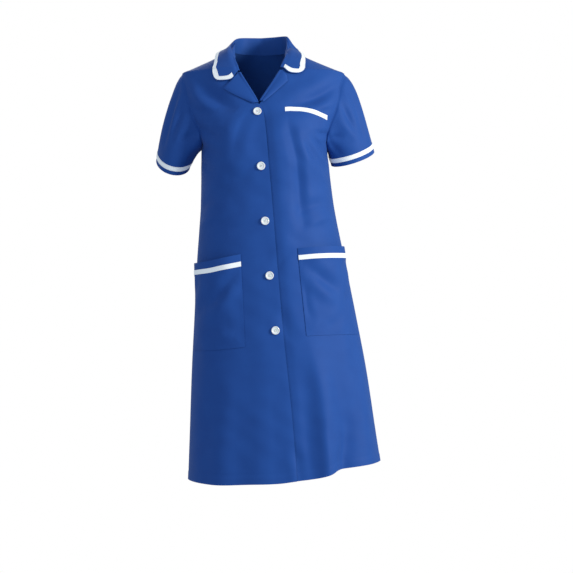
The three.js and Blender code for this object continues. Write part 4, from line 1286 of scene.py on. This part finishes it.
sewn = {}
for key, lines in blue_lines.items():
    sewn[key] = sew(f"stitches_{key}", lines, thread_blue)
for key, lines in white_lines.items():
    sewn[key] = sew(f"stitches_{key}", lines, thread_white)

# %% [markdown]
# Each buttonhole is worked down the front, a little longer than its button: close bars of thread on both sides of
# the cut. Each button is sewn with two bars of white thread.

# %%
hole_lines, shank_lines = [], []
for n in range(BUTTON["count"]):
    origin, axes, level = button_frame(n)
    reach = straight(level - 12.5, level + 12.5, 60)
    middle = edge_of[-1](level) - BUTTON_INSETS[n]
    for beside in (-1.0, 1.0):
        hole_lines.append(on_front(middle + beside, reach, OFF))
    for row in (-1, 1):
        across = [(-1.5, 1.0), (-1.5, 2.1), (0, 2.35), (1.5, 2.1), (1.5, 1.0)]
        bar = [(x, 1.5 * row, z) for x, z in across]
        shank_lines.append(np.array(bar) @ axes.T + origin)
sewn["buttonholes"] = sew("buttonhole_stitches", hole_lines, thread_blue, 0.75, 1.8, 0.26, math.pi / 2)
sewn["shanks"] = sew("button_threads", shank_lines, thread_white, 0.5, 0.8, 0.38)

# %% [markdown]
# ## Finish, frame and record
# ## Finish and frame
# Every piece takes its material and rides the dress's one rigid body, and each cloth, braid and button piece hides the
# solid it stands for. A table gives the flat size each cloth piece was cut to.

# %%
def slot_of(name):
    if name.startswith("button"):
        return "button"
    return "white_braid" if "braid" in name or "welt" in name else "blue_cloth"


FINISH = {"button": cast, "white_braid": white, "blue_cloth": blue}
for name, piece in made.items():
    piece.data.materials.clear()
    piece.data.materials.append(FINISH[slot_of(name)])
    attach(piece, "root")
    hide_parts(name)
for key, piece in sewn.items():
    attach(piece, "root")

CUTS = {
    "front_right": (0.33, 1.04, 0.262),
    "front_left": (0.34, 1.04, 0.265),
    "back": (0.6, 1.04, 0.48),
    "sleeve_right": (0.37, 0.24, 0.051),
    "sleeve_left": (0.37, 0.24, 0.048),
    "collar": (0.48, 0.09, 0.037),
    "revere_right": (0.09, 0.08, 0.0034),
    "revere_left": (0.08, 0.08, 0.0024),
    "pocket_right": (0.163, 0.205, None),
    "pocket_left": (0.163, 0.205, None),
    "collar_braid": (0.0105, 0.607, None),
    "sleeve_braid_right": (0.0105, 0.33, None),
    "sleeve_braid_left": (0.0105, 0.35, None),
    "breast_welt": (0.108, 0.0105, None),
    "pocket_braid_right": (0.178, 0.0105, None),
    "pocket_braid_left": (0.176, 0.0105, None),
}
for name, (width, length, area) in CUTS.items():
    with_it = [sewn[name]] if name in sewn else []
    if name == "front_right":
        with_it.append(sewn["buttonholes"])

# %% [markdown]
# ## Light and camera
# A bright white room: broad soft light from the wearer's left and in front, a weaker fill from the other side, and
# a level camera a few metres in front at hip height.

# %%
scene = bpy.context.scene
scene.view_settings.view_transform = "Standard"
world = bpy.data.worlds.new("white room")
scene.world = world
world.use_nodes = True
room = world.node_tree
room.nodes.clear()
seen = node(room, "ShaderNodeBackground", Color=(1, 1, 1, 1), Strength=1.0)
lit = node(room, "ShaderNodeBackground", Color=(0.72, 0.86, 1, 1), Strength=0.47)
ray = node(room, "ShaderNodeLightPath")
choose = node(room, "ShaderNodeMixShader")
output = node(room, "ShaderNodeOutputWorld")
room.links.new(ray.outputs["Is Camera Ray"], choose.inputs[0])
room.links.new(lit.outputs[0], choose.inputs[1])
room.links.new(seen.outputs[0], choose.inputs[2])
room.links.new(choose.outputs[0], output.inputs[0])


def soft_light(name, where, power, size, aim=(0.05, 0, -0.5), tint=(1, 1, 1)):
    data = bpy.data.lights.new(name, "AREA")
    data.energy, data.size, data.color = power, size, tint
    lamp = bpy.data.objects.new(name, data)
    scene.collection.objects.link(lamp)
    lamp.location = where
    way = np.array(aim) - np.array(where)
    lamp.rotation_euler = Vector(way).to_track_quat("-Z", "Y").to_euler()
    return lamp


soft_light("key", (2.8, -1.7, 0.35), 96, 0.9, tint=(1, 0.98, 0.88))
soft_light("fill", (-1.2, -3.4, 0.3), 18, 1.8, tint=(0.86, 0.95, 1))
soft_light("back", (-0.8, 2.6, 1.4), 30, 1.6)

camera_data = bpy.data.cameras.new("camera")
camera_data.lens, camera_data.sensor_width = 94.9, 36
camera_data.clip_end = 50
camera = bpy.data.objects.new("camera", camera_data)
scene.collection.objects.link(camera)
camera.location = (0.0576, -3.55, -0.5605)
camera.rotation_euler = (math.pi / 2, 0, 0)
scene.camera = camera
